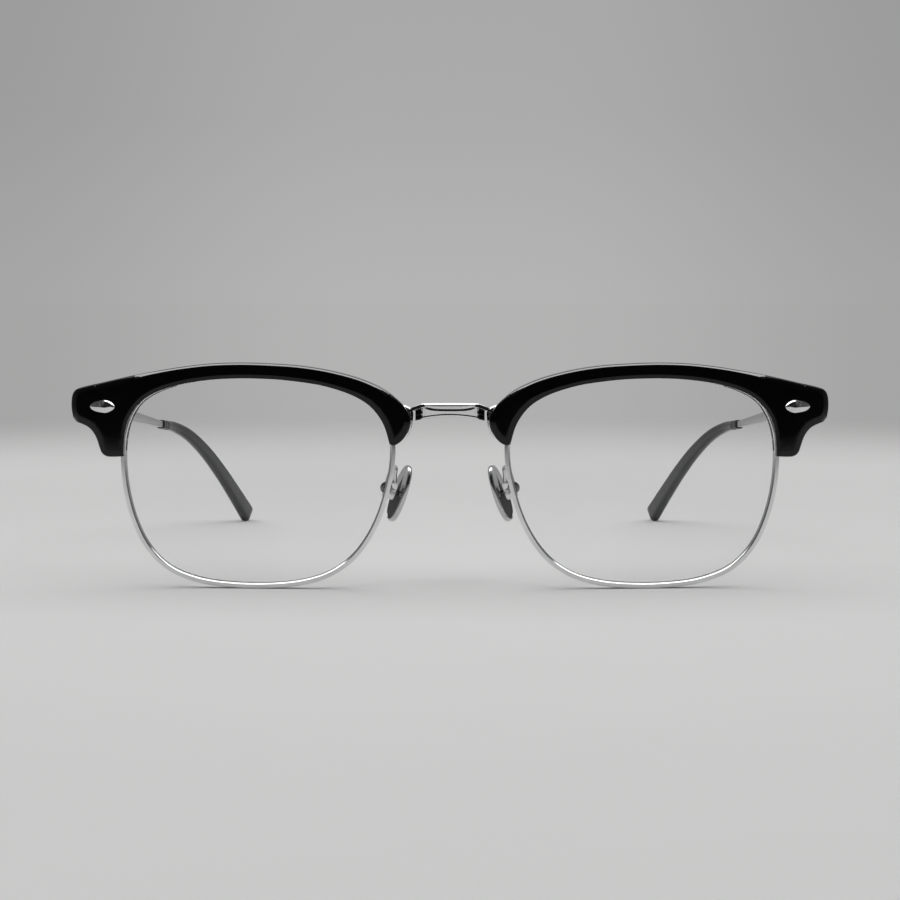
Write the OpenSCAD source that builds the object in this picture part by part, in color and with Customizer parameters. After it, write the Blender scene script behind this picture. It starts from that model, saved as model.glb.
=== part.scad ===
// Browline glasses. Millimetres, +Z up, front faces -Y, the wearer looks along -Y.
// Every piece is drawn for the wearer's left side (+X) and mirrored for the right.

/* [Lens and rim] */
// Radius of the sphere that the lenses and rims follow
base_r = 130; // [110:5:180]
// Width of the rim wire seen from the front
rim_w = 1.05; // [0.9:0.05:1.3]
// Depth of the rim wire, front to back
rim_d = 2.0; // [1.6:0.1:2.4]
// Thickness of the lens
lens_t = 1.8; // [1.4:0.1:1.8]

/* [Brow] */
// How far the brow's front stands in front of the rim's middle
brow_front = 3.2; // [2.6:0.1:3.6]
// How far the brow's back stands behind the rim's middle
brow_back = 1.4; // [1.2:0.1:1.5]

/* [Hinge] */
// Distance of the hinge screw from the middle plane
hinge_x = 64.9; // [64.7:0.1:65.1]
// Distance of the hinge screw behind the front
hinge_y = 11.0; // [10.8:0.1:11.4]
// Height of the middle of the hinge
hinge_z = 34.2; // [34.0:0.1:34.4]
// Outer radius of the hinge knuckles
knuckle_r = 1.3; // [1.1:0.05:1.3]
// Radius of the hinge screw
hinge_screw_r = 0.7; // [0.6:0.05:0.8]
// Radial clearance of the turning knuckles on the screw
hinge_play = 0.05; // [0.03:0.01:0.1]

/* [Nose pads] */
// Length of a nose pad
pad_l = 11.2; // [10:0.2:13]
// Width of a nose pad
pad_w = 5.8; // [5:0.2:8]
// Thickness of a nose pad
pad_t = 1.0; // [0.8:0.1:1.5]
// Lean of the pad, its top towards the middle
pad_lean = 19; // [12:1:22]
// Splay of the pad, its back edge away from the middle
pad_splay = 23; // [14:1:30]

/* [Temple] */
// Height of the temple bar at the hinge
bar_h = 4.6; // [3.6:0.1:5]
// Thickness of the temple bar
bar_t = 1.2; // [1:0.1:1.4]
// Height of the tip near its end
tip_h = 4.2; // [3.6:0.1:5]

/* [Hidden] */
$fn = 48;

// where the model's own origin lies in the drawing below
y_mid = 66.9;

// the sphere's centre for the left eye: nearer the nose than the lens, which wraps the front
sx = 27;
sy = base_r - 0.32;
sz = 20;

// ---- helpers -------------------------------------------------------------
function unit(v) = v / norm(v);
function knot(a, b) = pow(max(norm(b - a), 0.001), 0.5);
// centripetal curve through four points, between the middle two
function cr(p0, p1, p2, p3, t) =
  let (t1 = knot(p0, p1), t2 = t1 + knot(p1, p2), t3 = t2 + knot(p2, p3),
       u = t1 + (t2 - t1) * t,
       a1 = (t1 - u) / t1 * p0 + u / t1 * p1,
       a2 = (t2 - u) / (t2 - t1) * p1 + (u - t1) / (t2 - t1) * p2,
       a3 = (t3 - u) / (t3 - t2) * p2 + (u - t2) / (t3 - t2) * p3,
       b1 = (t2 - u) / t2 * a1 + u / t2 * a2,
       b2 = (t3 - u) / (t3 - t1) * a2 + (u - t1) / (t3 - t1) * a3)
  (t2 - u) / (t2 - t1) * b1 + (u - t1) / (t2 - t1) * b2;
// smooth closed curve
function loop_curve(p, k) = let (n = len(p))
  [for (i = [0:n - 1]) for (j = [0:k - 1]) cr(p[(i + n - 1) % n], p[i], p[(i + 1) % n], p[(i + 2) % n], j / k)];
// smooth open curve, with both ends
function open_curve(p, k) = let (n = len(p))
  concat([for (i = [0:n - 2]) for (j = [0:k - 1])
    cr(i == 0 ? 2 * p[0] - p[1] : p[i - 1], p[i], p[i + 1], i == n - 2 ? 2 * p[n - 1] - p[n - 2] : p[i + 2], j / k)],
    [p[n - 1]]);
// closed outline moved outwards by d
function grow(p, d) = let (n = len(p), s = area(p) > 0 ? 1 : -1)
  [for (i = [0:n - 1]) let (t = unit(p[(i + 1) % n] - p[(i + n - 1) % n])) p[i] + s * d * [t[1], -t[0]]];
function area(p, i = 0, s = 0) = i == len(p) ? s / 2 :
  area(p, i + 1, s + p[i][0] * p[(i + 1) % len(p)][1] - p[(i + 1) % len(p)][0] * p[i][1]);

// ball of the lens sphere, r is the distance in front of the lens's middle
module ball(r) { translate([sx, sy, sz]) sphere(r = base_r + r, $fn = 96); }
module shell(r_front, r_back) { difference() { ball(r_front); ball(r_back); } }
// an outline in the front view, run through from y0 to y1
module through(p, y0 = -8, y1 = 18) {
  translate([0, y1, 0]) rotate([90, 0, 0]) linear_extrude(y1 - y0) polygon(p);
}
module block(a, b) { translate(a) cube(b - a); }
// direction of the sphere at a place in the front view
function dir(a, z) = let (x = a - sx, h = z - sz) unit([x, -sqrt(base_r * base_r - x * x - h * h), h]);
// puts a child on the sphere, its Z along the outward direction and its Y up
module at(a, z, r = 0) {
  d = dir(a, z);
  translate([sx, sy, sz] + (base_r + r) * d)
    rotate([0, 0, atan2(d[0], -d[1])]) rotate([-asin(d[2]), 0, 0]) rotate([90, 0, 0]) children();
}
// solid through rings of points, with flat ends
module skin(r, closed = false) {
  n = len(r[0]);
  m = len(r);
  pts = [for (q = r) for (p = q) p];
  sides = [for (i = [0:(closed ? m - 1 : m - 2)]) for (k = [0:n - 1])
    let (i2 = (i + 1) % m, k2 = (k + 1) % n)
      for (f = [[i * n + k, i * n + k2, i2 * n + k2], [i * n + k, i2 * n + k2, i2 * n + k]]) f];
  caps = closed ? [] : [[for (k = [n - 1:-1:0]) k], [for (k = [0:n - 1]) (m - 1) * n + k]];
  polyhedron(points = pts, faces = concat(sides, caps), convexity = 6);
}
// rounded oblong section of n points
function sec(w, h, n = 12) = [for (k = [0:n - 1]) let (a = 360 * k / n + 180 / n, c = cos(a), s = sin(a))
  [w / 2 * sign(c) * pow(abs(c), 0.6), h / 2 * sign(s) * pow(abs(s), 0.6)]];
// section round a point of a path with direction t
function ring(c, t, w, h, n = 12) = let (side = unit(cross(t, [0, 0, 1])), up = cross(side, t))
  [for (q = sec(w, h, n)) c + q[0] * side + q[1] * up];
function tan_at(p, i) = unit(p[min(i + 1, len(p) - 1)] - p[max(i - 1, 0)]);

module place() { translate([0, -y_mid, 0]) children(); }
module left() { place() children(); }
module right() { place() mirror([1, 0, 0]) children(); }

// ---- outlines in the front view (X from the middle, Z from the floor) ------
// middle of the rim wire
rim_pts = [
  [61.2, 23.5], [60.7, 18.5], [59.3, 13.0], [56.8, 7.8], [52.8, 3.8], [47.0, 1.5], [40.5, 0.65],
  [34.0, 0.58], [28.0, 1.15], [22.6, 2.75], [18.3, 5.7], [15.2, 9.7], [13.1, 14.0], [11.7, 18.6],
  [10.8, 23.2], [10.8, 27.6], [12.4, 32.0], [16.0, 35.6], [21.0, 37.75], [27.5, 39.1], [34.5, 39.7],
  [41.5, 39.7], [48.0, 38.95], [53.8, 37.4], [58.0, 34.9], [60.3, 31.0], [61.1, 27.3]
];
rim_mid = loop_curve(rim_pts, 4);
rim_out = grow(rim_mid, rim_w / 2);
rim_in = grow(rim_mid, -rim_w / 2);

// brow: along the top from the end piece to the nasal end
brow_top = [
  [70.8, 31.8], [71.1, 33.2], [71.1, 35.5], [70.6, 36.8], [69.4, 37.4], [65.6, 38.3], [61.8, 39.2],
  [57.9, 40.05], [54.1, 40.75], [50.2, 41.4], [44.6, 42.05], [38.9, 42.25], [33.4, 42.1], [27.8, 41.7],
  [22.2, 40.8], [16.7, 39.3], [13.0, 37.7], [11.1, 36.5], [9.3, 35.0], [8.2, 33.7], [7.4, 32.2],
  [7.3, 31.2], [7.8, 29.6], [8.5, 28.3], [9.3, 27.5], [10.2, 27.0], [10.8, 26.9], [11.2, 27.2]
];
// brow: back along the lens opening
brow_inner = [
  [11.4, 27.9], [12.1, 30.3], [13.0, 32.0], [14.8, 34.2], [16.7, 35.5], [18.5, 36.4], [20.4, 37.1],
  [24.0, 38.1], [27.8, 38.7], [31.4, 39.1], [35.2, 39.3], [38.9, 39.35], [42.7, 39.2], [46.5, 38.8],
  [50.2, 38.15], [54.0, 37.0], [55.9, 36.1], [57.8, 34.7], [59.5, 32.5], [60.1, 31.3], [60.75, 28.5],
  [60.9, 26.2], [61.0, 24.7]
];
// brow: foot of the leg and up to the end piece
brow_leg = [
  [62.5, 24.6], [64.2, 24.65], [65.1, 25.2], [65.5, 26.0], [66.2, 28.0], [67.0, 29.3], [67.9, 30.1],
  [69.0, 30.6], [70.1, 31.0]
];
brow_line = concat(open_curve(brow_top, 3), open_curve(brow_inner, 3), open_curve(brow_leg, 3));

// ---- rims and lenses -------------------------------------------------------
lock_z = 27.7;
module rim() color([0.80, 0.80, 0.81]) difference() {
  intersection() { through(rim_out); shell(rim_d / 2, -rim_d / 2); }
  through(rim_in);
  // groove for the lens's bevel
  intersection() { through(rim_mid); shell(0.43, -0.43); }
  // the cut that the closing block draws together
  block([60.2, 0, lock_z - 0.15], [63, 12, lock_z + 0.15]);
}
module lens() color([0.90, 0.93, 0.94, 0.35]) union() {
  intersection() { through(grow(rim_in, -0.03)); shell(lens_t / 2, -lens_t / 2); }
  intersection() { through(grow(rim_mid, -0.03)); shell(0.40, -0.40); }
}

// ---- closing block ---------------------------------------------------------
lock_x = 63.15;
lock_y = 5.1;
// one half of the block, from z0 to z1, with a hole for the screw
module lock_half(z0, z1, hole_r) difference() {
  intersection() {
    block([61, 0, z0], [64.3, 10, z1]);
    shell(0.9, -1.25);
  }
  through(grow(rim_out, 0.01));
  translate([lock_x, lock_y, z0 - 1]) cylinder(r = hole_r, h = z1 - z0 + 2);
}
module rim_lock_upper() color([0.72, 0.72, 0.73]) lock_half(lock_z + 0.15, lock_z + 1.9, 0.56);
module rim_lock_lower() color([0.72, 0.72, 0.73]) lock_half(lock_z - 2.05, lock_z - 0.15, 0.6);
module rim_lock_screw() color([0.60, 0.60, 0.62]) translate([lock_x, lock_y, lock_z - 2.65]) difference() {
  union() { cylinder(r = 0.9, h = 0.58); cylinder(r = 0.54, h = 4.2); }
  block([-1, -0.12, -1], [1, 0.12, 0.25]);
}

// ---- bridge ----------------------------------------------------------------
bridge_front = concat(
  [[-5.1, 34.6], [-3, 34.7], [0, 34.7], [3, 34.7], [5.1, 34.6], [5.3, 34.4], [6.4, 34.1], [7.4, 33.7],
   [8.6, 33.6], [9.6, 33.2], [9.6, 31.2], [7.4, 31.2], [6.3, 31.4], [5.1, 31.75]],
  [for (x = [4:-1:-4]) [x, 32.05 - 0.012 * x * x]],
  [[-5.1, 31.75], [-6.3, 31.4], [-7.4, 31.2], [-9.6, 31.2], [-9.6, 33.2], [-8.6, 33.6], [-7.4, 33.7],
   [-6.4, 34.1], [-5.3, 34.4]]);
bridge_plan = [
  [-9.4, 0.9], [-7.2, 0.9], [-6.4, 0.3], [-5.1, 0.0], [-5.05, 0.25], [-2.5, -0.1], [0, -0.2], [2.5, -0.1],
  [5.05, 0.25], [5.1, 0.0], [6.4, 0.3], [7.2, 0.9], [9.4, 0.9], [9.4, 1.7], [8.3, 1.8], [7.2, 2.4], [6.4, 2.6],
  [5.1, 2.5], [5.05, 2.1], [0, 1.7], [-5.05, 2.1], [-5.1, 2.5], [-6.4, 2.6], [-7.2, 2.4], [-8.3, 1.8], [-9.4, 1.7]
];
// plate behind the brow's nasal end, soldered to the rim
foot_line = open_curve([[7.0, 33.4], [6.9, 31.6], [7.2, 29.8], [7.9, 28.6], [9.0, 28.1], [10.6, 28.0],
  [12.0, 31.5], [12.4, 32.8], [12.0, 34.0], [10.4, 34.5], [8.6, 34.3]], 3);
nasal_a = 9.7;
nasal_z = 31.3;
module bridge_foot() {
  intersection() { through(foot_line); shell(0.95, -0.55); }
}
module bridge() color([0.82, 0.82, 0.83]) place() difference() {
  union() {
    intersection() {
      through(bridge_front, -4, 6);
      translate([0, 0, 28]) linear_extrude(10) polygon(bridge_plan);
      // behind the brow's front plate
      union() {
        block([-7.0, -4, 28], [7.0, 6, 38]);
        ball(0.95);
        mirror([1, 0, 0]) ball(0.95);
      }
    }
    bridge_foot();
    mirror([1, 0, 0]) bridge_foot();
  }
  for (m = [0, 1]) mirror([m, 0, 0]) {
    through(grow(rim_out, 0.01));
    at(nasal_a, nasal_z, -4) cylinder(r = 0.6, h = 8);
  }
}

// ---- brow ------------------------------------------------------------------
lug_a = 55.6;
lug_z = 38.6;
plaque_a = 65.0;
plaque_z = 34.0;
plaque_line = let (top = open_curve([[2.55, -0.1], [2.28, 0.38], [1.45, 0.86], [0.4, 1.08], [-0.6, 1.16], [-1.4, 0.97], [-2.1, 0.55], [-2.55, -0.05]], 2),
                   low = open_curve([[-2.55, -0.05], [-2.3, -0.55], [-1.5, -1.02], [-0.74, -1.25], [0.2, -1.18], [1.4, -0.95], [2.2, -0.55], [2.55, -0.1]], 2))
  concat([for (i = [0:len(top) - 2]) top[i]], [for (i = [0:len(low) - 2]) low[i]]);
module brow() color([0.02, 0.02, 0.022]) difference() {
  intersection() { through(brow_line); shell(brow_front, -brow_back); }
  // seat of the rim
  intersection() { through(grow(rim_out, 0.05)); ball(rim_d / 2 + 0.05); }
  // the nasal end lies on the bridge's plate
  intersection() { block([4, -8, 24], [12.6, 18, 36.0]); ball(rim_d / 2 + 0.05); }
  // room for the closing block, open below for the screwdriver
  intersection() { block([60.5, -8, 24], [64.4, 18, lock_z + 2.0]); ball(rim_d / 2 + 0.05); }
  // seat of the hinge plate, and the stop for the temple
  block([62.3, 6.8, 31.4], [66.9, 18, 37.0]);
  block([66.6, 8.2, 28], [73, 18, 40]);
  // seat of the plaque and holes for its two shanks
  at(plaque_a - 0.9, plaque_z - 0.33, brow_front - 0.4) linear_extrude(3) polygon(grow(plaque_line, 0.03));
  for (x = [-1.1, 1.2]) translate([plaque_a + x, 9, plaque_z]) rotate([90, 0, 0]) cylinder(r = 0.52, h = 12);
  // screw holes from behind
  at(nasal_a, nasal_z, -4) cylinder(r = 0.57, h = 6.4);
  at(lug_a, lug_z, -4) cylinder(r = 0.57, h = 5.4);
}
module plaque() color([0.78, 0.78, 0.79]) {
  difference() {
    union() {
      at(plaque_a - 0.9, plaque_z - 0.33, brow_front - 0.38) {
        linear_extrude(0.48) polygon(plaque_line);
        hull() {
          translate([0, 0, 0.40]) linear_extrude(0.12) polygon(plaque_line);
          translate([0, 0, 0.80]) linear_extrude(0.02) polygon([[1.6, -0.14], [-0.3, -0.2], [-1.5, -0.12], [-1.5, -0.18], [-0.7, -0.34], [1.6, -0.2]]);
        }
      }
      for (x = [-1.1, 1.2]) translate([plaque_a + x, 7.75, plaque_z]) rotate([90, 0, 0]) cylinder(r = 0.5, h = 5.0);
    }
  }
}

// ---- brow lug and screws -----------------------------------------------------
module lug_shape(r) {
  at(lug_a, lug_z, -6) cylinder(r = r, h = 12);
  translate([54.9, 0, 36.9]) rotate([0, 25, 0]) block([-r, -8, -0.6], [r, 18, 2.0]);
}
module brow_lug() color([0.72, 0.72, 0.73]) difference() {
  union() {
    intersection() { lug_shape(1.35); shell(-brow_back - 0.02, -2.1); }
    intersection() { lug_shape(1.35); through(rim_out); shell(-rim_d / 2 - 0.01, -2.1); }
  }
  through(rim_in);
  at(lug_a, lug_z, -6) cylinder(r = 0.6, h = 12);
}
module screw_shape(len_mm) {
  translate([0, 0, -0.55]) difference() {
    union() { cylinder(r = 1.0, h = 0.54); cylinder(r = 0.55, h = len_mm + 0.55); }
    block([-1.2, -0.14, -0.1], [1.2, 0.14, 0.25]);
  }
}
module brow_screws() color([0.60, 0.60, 0.62]) {
  at(nasal_a, nasal_z, -0.57) screw_shape(2.8);
  at(lug_a, lug_z, -2.12) screw_shape(3.2);
}

// ---- hinge -----------------------------------------------------------------
knuckle_h = 1.0;
knuckle_gap = 0.05;
// floor of knuckle i, counted from below
function knuckle_z(i) = hinge_z - 2.5 * knuckle_h - 2 * knuckle_gap + i * (knuckle_h + knuckle_gap);
module hinge_front() color([0.70, 0.70, 0.72]) difference() {
  union() {
    block([62.5, 6.82, 31.6], [66.7, 7.7, 36.8]);
    for (i = [0, 2, 4]) {
      translate([hinge_x, hinge_y, knuckle_z(i)]) cylinder(r = knuckle_r, h = knuckle_h);
      block([hinge_x - 1.1, 7.5, knuckle_z(i)], [hinge_x + 1.1, hinge_y, knuckle_z(i) + knuckle_h]);
    }
  }
  translate([hinge_x, hinge_y, 20]) cylinder(r = hinge_screw_r + 0.02, h = 30);
  for (x = [-1.1, 1.2]) translate([plaque_a + x, 12, plaque_z]) rotate([90, 0, 0]) cylinder(r = 0.52, h = 12);
}
module hinge_temple() color([0.70, 0.70, 0.72]) difference() {
  union() {
    // leaf on the inner face of the bar
    translate([66.4, 0, hinge_z]) skew_leaf();
    for (i = [1, 3]) {
      translate([hinge_x, hinge_y, knuckle_z(i)]) cylinder(r = knuckle_r, h = knuckle_h);
      block([hinge_x, hinge_y, knuckle_z(i)], [66.5, hinge_y + 1.9, knuckle_z(i) + knuckle_h]);
    }
  }
  translate([hinge_x, hinge_y, 20]) cylinder(r = hinge_screw_r + hinge_play, h = 30);
}
// leaf: runs down with the bar
module skew_leaf() {
  rotate([90, 0, 90]) linear_extrude(0.58) polygon([[hinge_y + 0.3, -2.1], [hinge_y + 2.4, -2.2],
    [hinge_y + 8, -2.1], [hinge_y + 9.2, -1.7], [hinge_y + 9.2, -0.5], [hinge_y + 8, 0.2], [hinge_y + 2.4, 1.8],
    [hinge_y + 0.3, 2.1]]);
}
module hinge_screw() color([0.62, 0.62, 0.64]) translate([hinge_x, hinge_y, 0]) difference() {
  union() {
    translate([0, 0, knuckle_z(0)]) cylinder(r = hinge_screw_r, h = 5 * knuckle_h + 4 * knuckle_gap + 0.02);
    translate([0, 0, knuckle_z(4) + knuckle_h + 0.01]) cylinder(r = 1.1, h = 0.5);
  }
  block([-1.3, -0.15, knuckle_z(4) + knuckle_h + 0.26], [1.3, 0.15, 45]);
}

// ---- temple ----------------------------------------------------------------
// middle line of the bar, then of the wire inside the tip
bar_path = concat([[67.6, 8.4, 34.2], [67.6, 13, 33.75], [67.6, 17.5, 33.3], [67.6, 22, 32.85]],
  [for (i = [1:8]) let (f = i / 8) [67.6 - 2.8 * pow(f, 1.25), 22 + 70 * f, 32.85 - 7.15 * f]]);
// height of the bar along its length, f from 0 at the hinge to 1 at the tip
function bar_hh(f) = 1.4 + (bar_h - 1.4) * (1 - f) * (1 - 0.45 * min(1, f * 5)) ;
tip_path = open_curve([[64.8, 92, 25.7], [64.2, 97, 25.2], [62.9, 102, 24.5], [60.4, 108, 22.4],
  [57.4, 115, 18.3], [54.4, 122, 12.9], [51.5, 129, 6.8], [49.2, 134.6, 1.75]], 4);
nt = len(tip_path) - 1;
core_n = 24;
module temple() color([0.78, 0.78, 0.79]) difference() {
  skin(concat(
    [for (i = [0:len(bar_path) - 2]) let (f = (bar_path[i][1] - 8.4) / 83.6)
      ring(bar_path[i], tan_at(bar_path, i), bar_t + 0.1 * f, bar_hh(f))],
    [ring(tip_path[0], tan_at(tip_path, 0), bar_t + 0.1, 1.4),
     ring(tip_path[1], tan_at(tip_path, 1), 1.25, 1.3)],
    [for (i = [2:core_n]) ring(tip_path[i], tan_at(tip_path, i), 0.9, 1.0)]));
  // the end is cut square to meet the brow
  block([60, 6, 25], [75, 8.5, 45]);
}
// the collar runs over the first part of the curve, the tip starts at its end
collar_n = 4;
module tip_collar() color([0.30, 0.30, 0.31]) skin(concat(
  [for (i = [0:collar_n]) ring(tip_path[i], tan_at(tip_path, i), 1.9, 2.0)],
  [for (i = [collar_n:-1:2]) ring(tip_path[i], tan_at(tip_path, i), 0.96, 1.06)],
  [ring(tip_path[1], tan_at(tip_path, 1), 1.31, 1.36), ring(tip_path[0], tan_at(tip_path, 0), 1.36, 1.46)]), closed = true);
function tip_w(f) = 1.8 + 0.5 * f;
function tip_hh(f) = 2.1 + (tip_h - 2.1) * pow(f, 1.3);
module temple_tip() color([0.22, 0.22, 0.23]) skin(concat(
  // the hole for the wire, from its bottom to the mouth
  [for (i = [core_n:-1:collar_n]) ring(tip_path[i] + (i == core_n ? 0.1 : i == collar_n ? 0.03 : 0) * tan_at(tip_path, i), tan_at(tip_path, i), 0.96, 1.06)],
  // the outside
  [for (i = [collar_n:nt]) let (f = (i - collar_n) / (nt - collar_n)) ring(tip_path[i] + (i == collar_n ? 0.03 : 0) * tan_at(tip_path, i), tan_at(tip_path, i), tip_w(f), tip_hh(f))],
  [ring(tip_path[nt] + 0.6 * tan_at(tip_path, nt), tan_at(tip_path, nt), 1.9, tip_h - 0.6),
   ring(tip_path[nt] + 0.9 * tan_at(tip_path, nt), tan_at(tip_path, nt), 1.2, tip_h - 1.6)]));

// ---- nose pad --------------------------------------------------------------
pad_c = [9.62, 10.4, 17.05];
pin_x = 1.95;
pin_r = 0.3;
module pad_place() { translate(pad_c) rotate([0, -pad_lean, 0]) rotate([0, 0, -pad_splay]) children(); }
// the same move for a point: x away from the nose, y backwards, z up along the pad
function pad_at(x, y, z) = let (c = cos(pad_splay), s = sin(pad_splay), p = [c * x + s * y, -s * x + c * y, z],
  k = cos(pad_lean), l = sin(pad_lean)) pad_c + [k * p[0] - l * p[2], p[1], l * p[0] + k * p[2]];
module nose_pad() color([0.66, 0.66, 0.67]) pad_place() difference() {
  translate([-pad_t / 2, 0, 0]) rotate([90, 0, 90]) linear_extrude(pad_t)
    polygon([for (k = [0:47]) let (a = 7.5 * k, c = cos(a), s = sin(a))
      [pad_w / 2 * sign(c) * pow(abs(c), 0.9) * (1 - 0.08 * s), pad_l / 2 * sign(s) * pow(abs(s), 0.95)]]);
}
module pad_lug() color([0.70, 0.70, 0.71]) pad_place() difference() {
  union() {
    translate([pin_x, 0.75, 0]) rotate([90, 0, 0]) cylinder(r = 0.53, h = 1.5);
    block([pad_t / 2 + 0.01, -0.75, -0.45], [pin_x, 0.75, 0.45]);
  }
  translate([pin_x, 2, 0]) rotate([90, 0, 0]) cylinder(r = pin_r + 0.05, h = 4);
}
module pad_box() color([0.74, 0.74, 0.75]) pad_place() difference() {
  block([1.3, -1.3, -1.5], [2.8, 1.3, 1.75]);
  block([0, -0.8, -2], [2.52, 0.8, 1.25]);
  translate([pin_x, 3, 0]) rotate([90, 0, 0]) cylinder(r = pin_r + 0.02, h = 6);
}
module pad_screw() color([0.62, 0.62, 0.64]) pad_place() translate([pin_x, 0, 0]) rotate([90, 0, 0]) difference() {
  union() { translate([0, 0, -1.3]) cylinder(r = pin_r, h = 2.62); translate([0, 0, 1.31]) cylinder(r = 0.58, h = 0.36); }
  block([-1, -0.1, 1.49], [1, 0.1, 3]);
}
// arm: from the foot on the rim's back, up in a loop and down to the box
arm_end = pad_at(1.75, 0, 1.86);
arm_path = open_curve([[12.0, 2.35, 18.8], [12.0, 3.9, 18.9], [11.8, 5.4, 19.8], [11.3, 6.8, 21.2],
  [10.6, 7.8, 22.1], [10.3, 8.8, 22.0], [arm_end[0] - 0.12, arm_end[1] - 0.15, arm_end[2] + 1.3], arm_end], 4);
function flat_ring(c, t, side, r) = let (s = unit(side - (side * t) * t), u = cross(s, t))
  [for (k = [0:9]) c + r * cos(36 * k) * s + r * sin(36 * k) * u];
module pad_arm() color([0.80, 0.80, 0.81]) {
  skin([for (i = [0:len(arm_path) - 1]) flat_ring(arm_path[i], tan_at(arm_path, i), [1, 0.35, 0], 0.4)]);
  // solder foot on the back of the rim
  difference() {
    intersection() {
      translate([11.9, 10, 18.8]) rotate([90, 0, 0]) cylinder(r = 1.15, h = 12);
      shell(-rim_d / 2 - 0.01, -2.0);
    }
    intersection() { through(rim_in); shell(0, -1.0); }
  }
}

// ---- the nodes ---------------------------------------------------------------
module rim_right() { right() rim(); }
module rim_left() { left() rim(); }
module lens_right() { right() lens(); }
module lens_left() { left() lens(); }
module brow_right() { right() brow(); }
module brow_left() { left() brow(); }
module plaque_right() { right() plaque(); }
module plaque_left() { left() plaque(); }
module rim_lock_upper_right() { right() rim_lock_upper(); }
module rim_lock_upper_left() { left() rim_lock_upper(); }
module rim_lock_lower_right() { right() rim_lock_lower(); }
module rim_lock_lower_left() { left() rim_lock_lower(); }
module rim_lock_screw_right() { right() rim_lock_screw(); }
module rim_lock_screw_left() { left() rim_lock_screw(); }
module brow_lug_right() { right() brow_lug(); }
module brow_lug_left() { left() brow_lug(); }
module brow_screws_right() { right() brow_screws(); }
module brow_screws_left() { left() brow_screws(); }
module hinge_front_right() { right() hinge_front(); }
module hinge_front_left() { left() hinge_front(); }
module hinge_screw_right() { right() hinge_screw(); }
module hinge_screw_left() { left() hinge_screw(); }
module hinge_temple_right() { right() hinge_temple(); }
module hinge_temple_left() { left() hinge_temple(); }
module temple_right() { right() temple(); }
module temple_left() { left() temple(); }
module tip_collar_right() { right() tip_collar(); }
module tip_collar_left() { left() tip_collar(); }
module temple_tip_right() { right() temple_tip(); }
module temple_tip_left() { left() temple_tip(); }
module pad_arm_right() { right() pad_arm(); }
module pad_arm_left() { left() pad_arm(); }
module pad_box_right() { right() pad_box(); }
module pad_box_left() { left() pad_box(); }
module pad_screw_right() { right() pad_screw(); }
module pad_screw_left() { left() pad_screw(); }
module pad_lug_right() { right() pad_lug(); }
module pad_lug_left() { left() pad_lug(); }
module nose_pad_right() { right() nose_pad(); }
module nose_pad_left() { left() nose_pad(); }

rim_right();
rim_left();
lens_right();
lens_left();
brow_right();
brow_left();
plaque_right();
plaque_left();
bridge();
rim_lock_upper_right();
rim_lock_upper_left();
rim_lock_lower_right();
rim_lock_lower_left();
rim_lock_screw_right();
rim_lock_screw_left();
brow_lug_right();
brow_lug_left();
brow_screws_right();
brow_screws_left();
hinge_front_right();
hinge_front_left();
hinge_screw_right();
hinge_screw_left();
hinge_temple_right();
hinge_temple_left();
temple_right();
temple_left();
tip_collar_right();
tip_collar_left();
temple_tip_right();
temple_tip_left();
pad_arm_right();
pad_arm_left();
pad_box_right();
pad_box_left();
pad_screw_right();
pad_screw_left();
pad_lug_right();
pad_lug_left();
nose_pad_right();
nose_pad_left();
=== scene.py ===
import math

import bmesh
import bpy
import numpy as np
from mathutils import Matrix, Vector
from mathutils.geometry import delaunay_2d_cdt

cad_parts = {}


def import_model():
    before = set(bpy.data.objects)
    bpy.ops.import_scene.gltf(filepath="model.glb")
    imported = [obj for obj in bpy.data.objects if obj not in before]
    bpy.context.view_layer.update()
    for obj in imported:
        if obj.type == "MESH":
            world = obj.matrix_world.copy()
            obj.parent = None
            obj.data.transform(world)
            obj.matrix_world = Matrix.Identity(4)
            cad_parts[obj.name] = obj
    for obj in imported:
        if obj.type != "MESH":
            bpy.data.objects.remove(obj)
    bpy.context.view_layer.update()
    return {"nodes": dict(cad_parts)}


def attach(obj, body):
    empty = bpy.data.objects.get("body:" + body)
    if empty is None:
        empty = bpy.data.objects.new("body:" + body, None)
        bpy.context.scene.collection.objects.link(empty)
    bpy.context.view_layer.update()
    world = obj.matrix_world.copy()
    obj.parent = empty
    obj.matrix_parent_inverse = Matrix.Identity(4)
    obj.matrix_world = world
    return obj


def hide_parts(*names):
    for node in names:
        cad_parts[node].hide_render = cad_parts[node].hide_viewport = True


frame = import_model()
NODES = frame["nodes"]

# ---------------------------------------------------------------------------
# Pieces are drawn for the wearer's left side in millimetres: a is the distance
# from the middle plane, y runs back from the front, z up from the floor.
# ---------------------------------------------------------------------------
YM = 66.9
CA, CY, CZ, BR = 27.0, 129.68, 20.0, 130.0


def ys(a, z, r):
    """Depth of the lens sphere moved forward by r, at a place in the front view."""
    return CY - np.sqrt((BR + r) ** 2 - (np.asarray(a) - CA) ** 2 - (np.asarray(z) - CZ) ** 2)


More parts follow.
